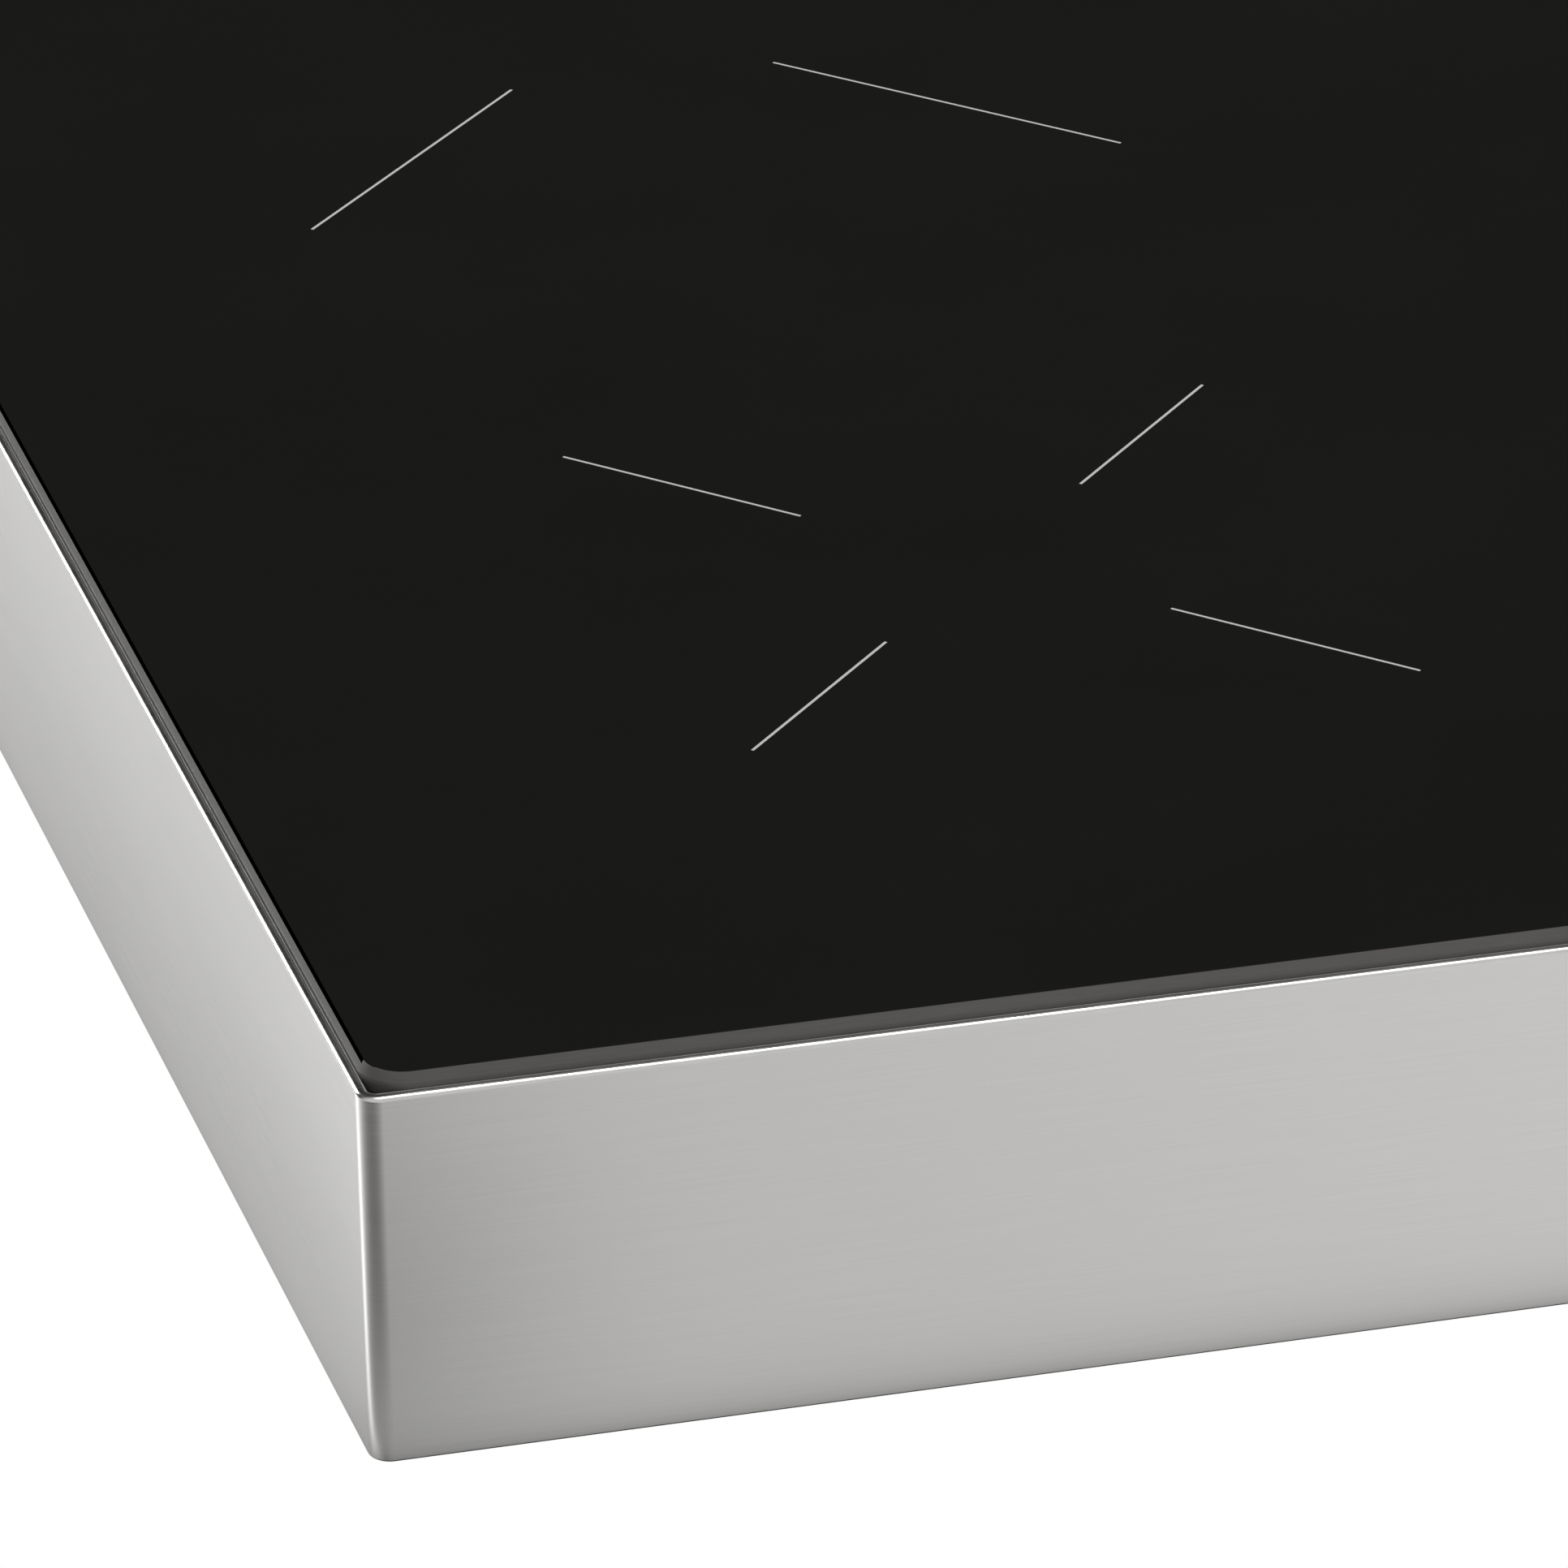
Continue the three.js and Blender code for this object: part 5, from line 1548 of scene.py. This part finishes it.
class COOKTOP_OT_controls(bpy.types.Operator):
    """Makes the touch board, its bracket, and the printed controls over them"""

    bl_idname = "cooktop.controls"
    bl_label = "Touch controls"

    KEYS = 8
    KEY_MARGIN = 18 * MM
    KEYS_FORWARD = 9 * MM

    def execute(self, context):
        low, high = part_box("touch_board")
        spot = middle("touch_board")
        keys_y = spot.y - self.KEYS_FORWARD
        pitch = (high.x - low.x - 2 * self.KEY_MARGIN) / (self.KEYS - 1)
        top = low.z + CARD
        mesh = Solid().box(low, (high.x, high.y, top), 0, 0.2 * MM)
        y = spot.y + 11 * MM
        mesh.block(spot.x, y, 35 * MM, 6.5 * MM, top, high.z, 1, 0.4 * MM)
        for i in range(6):
            mesh.block(spot.x + (-27.5 + 11 * i) * MM, y, 3.6 * MM, 5 * MM, high.z - 0.5 * MM,
                       high.z + 0.02 * MM, 2, 0.1 * MM)
        keep(mesh.piece("touch_card", circuit_board(), black_moulding(), grey_moulding()),
             "circuit_board", "touch_board")
        keep(grow("touch_pads", touch_springs, spring_steel(), [(spot.x, keys_y, top)], 60,
                  radius=4.6 * MM, wire=0.35 * MM, height=high.z - top, turns=5.0, pitch=pitch,
                  number=self.KEYS), "spring_steel")
        self.bracket()
        self.symbols(spot.x, keys_y, pitch)
        return {"FINISHED"}

    def bracket(self):
        low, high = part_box("touch_bracket")
        leg = 5 * MM
        mesh = Solid().box((low.x, low.y, high.z - 2 * MM), high, 0, 0.5 * MM)
        for y in (low.y + leg, high.y - leg):
            for x in (low.x + leg, high.x - leg):
                mesh.bar(x, y, leg, low.z, high.z - 1 * MM, 0, 40, 0.5 * MM)
            mesh.box((low.x + leg, y - 0.8 * MM, high.z - 9 * MM),
                     (high.x - leg, y + 0.8 * MM, high.z - 1.5 * MM), 0, 0.3 * MM)
        keep(mesh.piece("control_bracket", grey_moulding()), "grey_plastic", "touch_bracket")

    def symbols(self, middle_x, y, pitch):
        """Plain printed signs: a ring with a bar, minus, plus, four dots and a lock."""
        glass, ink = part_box("glass_pane")[1].z, 0.03 * MM
        low, high, line = glass - ink, glass + ink, 0.3 * MM
        outer, inner = 3.2 * MM, 2.7 * MM
        mesh = Solid()
        for i in range(self.KEYS):
            x = middle_x + (i - (self.KEYS - 1) / 2) * pitch
            if i in (0, self.KEYS - 1):
                mesh.turned(x, y, [(outer, low), (outer, high), (inner, high), (inner, low),
                                   (outer, low)], 40)
            if i in (0, 2, 5):
                mesh.block(x, y, 2 * MM, line, low, high)
            if i in (2, 7):
                mesh.block(x, y, line, 2 * MM, low, high)
            if i in (1, 3, 4, 6):
                mesh.bar(x, y, 1.0 * MM, low, high, sides=20)
        keep(mesh.piece("control_print", printed_enamel()), "glass_ceramic")


# ------------------------------------------------------------------ stage


def distance(place, middle_point, half):
    """The distance of a point from a box about a middle."""
    def step(value, operation, other=(0, 0, 0), out=0):
        return node(place.tree, "ShaderNodeVectorMath", {0: value, 1: other}, out,
                    operation=operation)
    past = step(step(step(place, "SUBTRACT", middle_point), "ABSOLUTE"), "SUBTRACT", half)
    return step(step(past, "MAXIMUM"), "LENGTH", out="Value")


def ramp(value, start, end, low, high):
    return node(value.tree, "ShaderNodeMapRange", {
        "Value": value, "From Min": start, "From Max": end, "To Min": low, "To Max": high},
        interpolation_type="SMOOTHSTEP")


def camera_ray(tree):
    return node(tree, "ShaderNodeLightPath", out="Is Camera Ray")


class COOKTOP_OT_stage(bpy.types.Operator):
    """Sets the floor, the studio light and the camera"""

    bl_idname = "cooktop.stage"
    bl_label = "Stage"

    def execute(self, context):
        self.floor()
        self.world(context)
        self.light("overhead", (0.35, -0.55, 2.6), (1.6, 1.1), 34)
        self.light("rear_left", (-1.7, 2.6, 1.15), (1.0, 1.5), 38)
        self.camera(context)
        context.scene.view_settings.view_transform = "Standard"
        return {"FINISHED"}

    def floor(self):
        """White paper that vanishes from below."""
        reach = 30.0
        mesh = bpy.data.meshes.new("floor")
        mesh.from_pydata([(-reach, -reach, 0), (reach, -reach, 0), (reach, reach, 0),
                          (-reach, reach, 0)], [], [(0, 1, 2, 3)])
        floor = new_object("floor", mesh, [self.floor_material()])
        soften(floor)

    def floor_material(self):
        """Evenly lit white paper to the camera. The glow that reflections find is painted:
        painted shade beside the object and a painted contact shadow under it, a painted dark
        patch before the front left corner with a painted bright strip behind it, and painted
        falloff of the light to the left in front."""
        material = bpy.data.materials.new("floor_white_paper_painted_reflections")
        material.use_nodes = True
        tree = material.node_tree
        tree.nodes.clear()
        low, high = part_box("steel_frame")
        lean = bpy.context.scene.cooktop_skirt.lean
        place = place_of(tree)
        x, y, _ = axes_of(place)
        # Painted dark patch in the floor's glow, which the front left corner mirrors as a painted
        # dark reflection.
        painted_dark_patch_distance = distance(place, (low.x - 0.078, low.y - 0.085, 0), (0, 0, 0))
        # Painted shade beside the object, a painted contact shadow under it and painted falloff
        # of the light.
        beside = distance(place, (0, 0, 0), (high.x, high.y, 10))
        under = distance(place, (0, 0, 0), (high.x - lean, high.y, 10))
        front = ramp(y, low.y - 0.02, low.y + 0.03, 1.0, 0.0)
        shade = ramp(beside, -0.01, 0.07, 0.6, 1.0).math("MAXIMUM", front)
        across = ramp(x, low.x - 0.06, low.x + 0.3, 0.68, 0.93)
        behind = ramp(y, low.y - 0.02, low.y + 0.05, 0.0, 0.3)
        painted_falloff = (across + behind).math("MINIMUM", 0.93)
        # Painted bright strip behind the corner; the corner's thin highlight is its painted
        # reflection.
        bearing = (y - low.y).math("ARCTAN2", low.x - x)
        off_strip = (bearing - math.radians(44)).math("ABSOLUTE")
        strip = ramp(off_strip, math.radians(5), math.radians(13), 1.6, 0.0)
        level = (ramp(painted_dark_patch_distance, 0.03, 0.16, 0.06, 1.0) * shade
                 * ramp(under, 0.0, 0.0012, 0.05, 1.0) * painted_falloff + strip)
        glow = node(tree, "ShaderNodeEmission", {
            "Color": (1, 1, 1, 1), "Strength": level.math("MAXIMUM", camera_ray(tree))})
        both = node(tree, "ShaderNodeMixShader", {
            0: node(tree, "ShaderNodeNewGeometry", out="Backfacing"), 1: glow,
            2: node(tree, "ShaderNodeBsdfTransparent")})
        node(tree, "ShaderNodeOutputMaterial", {"Surface": both})
        return material

    def world(self, context):
        """White behind everything. Reflections find a bright room in front of the object and a
        dark one behind it, which the pane mirrors."""
        world = bpy.data.worlds.new("studio")
        world.use_nodes = True
        context.scene.world = world
        tree = world.node_tree
        back = tree.nodes["Background"]
        back.inputs["Color"].default_value = (1, 1, 1, 1)
        toward = axes_of(node(tree, "ShaderNodeTexCoord", out="Generated"))[1]
        room = ramp(toward, 0.35, -0.45, 0.02, 0.8)
        tree.links.new(camera_ray(tree).math("MAXIMUM", room).socket, back.inputs["Strength"])

    def light(self, name, place, size, power):
        data = bpy.data.lights.new(name, "AREA")
        data.shape = "RECTANGLE"
        data.size, data.size_y = size
        data.energy = power
        lamp = new_object(name, data)
        lamp.location = place
        lamp.rotation_euler = (-Vector(place)).to_track_quat("-Z", "Y").to_euler()
        lamp.visible_camera = False

    def camera(self, context):
        s = context.scene.cooktop_stage
        data = bpy.data.cameras.new("camera")
        data.sensor_width = 36
        data.lens = s.lens / MM
        data.clip_start, data.clip_end = 0.05, 100
        camera = new_object("camera", data)
        ahead = Vector((-math.sin(s.azimuth) * math.cos(s.elevation),
                        math.cos(s.azimuth) * math.cos(s.elevation), -math.sin(s.elevation)))
        level = ahead.cross(Vector((0, 0, 1))).normalized()
        right = level * math.cos(s.roll) + level.cross(ahead) * math.sin(s.roll)
        turn = Matrix((right, right.cross(ahead), -ahead)).transposed().to_4x4()
        camera.matrix_world = Matrix.Translation(s.place) @ turn
        context.scene.camera = camera


# ------------------------------------------------------------------ add-on


OPERATORS = [
    COOKTOP_OT_skirt, COOKTOP_OT_pane, COOKTOP_OT_tray, COOKTOP_OT_coils, COOKTOP_OT_springs,
    COOKTOP_OT_shelves, COOKTOP_OT_power, COOKTOP_OT_fans, COOKTOP_OT_mains,
    COOKTOP_OT_controls, COOKTOP_OT_stage,
]


class COOKTOP_PT_panel(bpy.types.Panel):
    """Lists the cooktop's pieces and their settings"""

    bl_idname = "COOKTOP_PT_panel"
    bl_label = "Induction Cooktop"
    bl_space_type = "VIEW_3D"
    bl_region_type = "UI"
    bl_category = "Cooktop"

    def draw(self, context):
        for group, kind in SETTINGS.items():
            box = self.layout.box()
            box.label(text=kind.__doc__)
            for name in kind.__annotations__:
                box.prop(getattr(context.scene, group), name)
        for operator in OPERATORS:
            self.layout.operator(operator.bl_idname)


CLASSES = [*SETTINGS.values(), *OPERATORS, COOKTOP_PT_panel]


def register():
    for kind in CLASSES:
        bpy.utils.register_class(kind)
    for group, kind in SETTINGS.items():
        setattr(bpy.types.Scene, group, bpy.props.PointerProperty(type=kind))


def unregister():
    for group in SETTINGS:
        delattr(bpy.types.Scene, group)
    for kind in reversed(CLASSES):
        bpy.utils.unregister_class(kind)


def main():
    register()
    for operator in OPERATORS:
        area, name = operator.bl_idname.split(".")
        if getattr(getattr(bpy.ops, area), name)() != {"FINISHED"}:
            raise RuntimeError(f"{operator.bl_idname} did not finish")


if __name__ == "__main__":
    main()
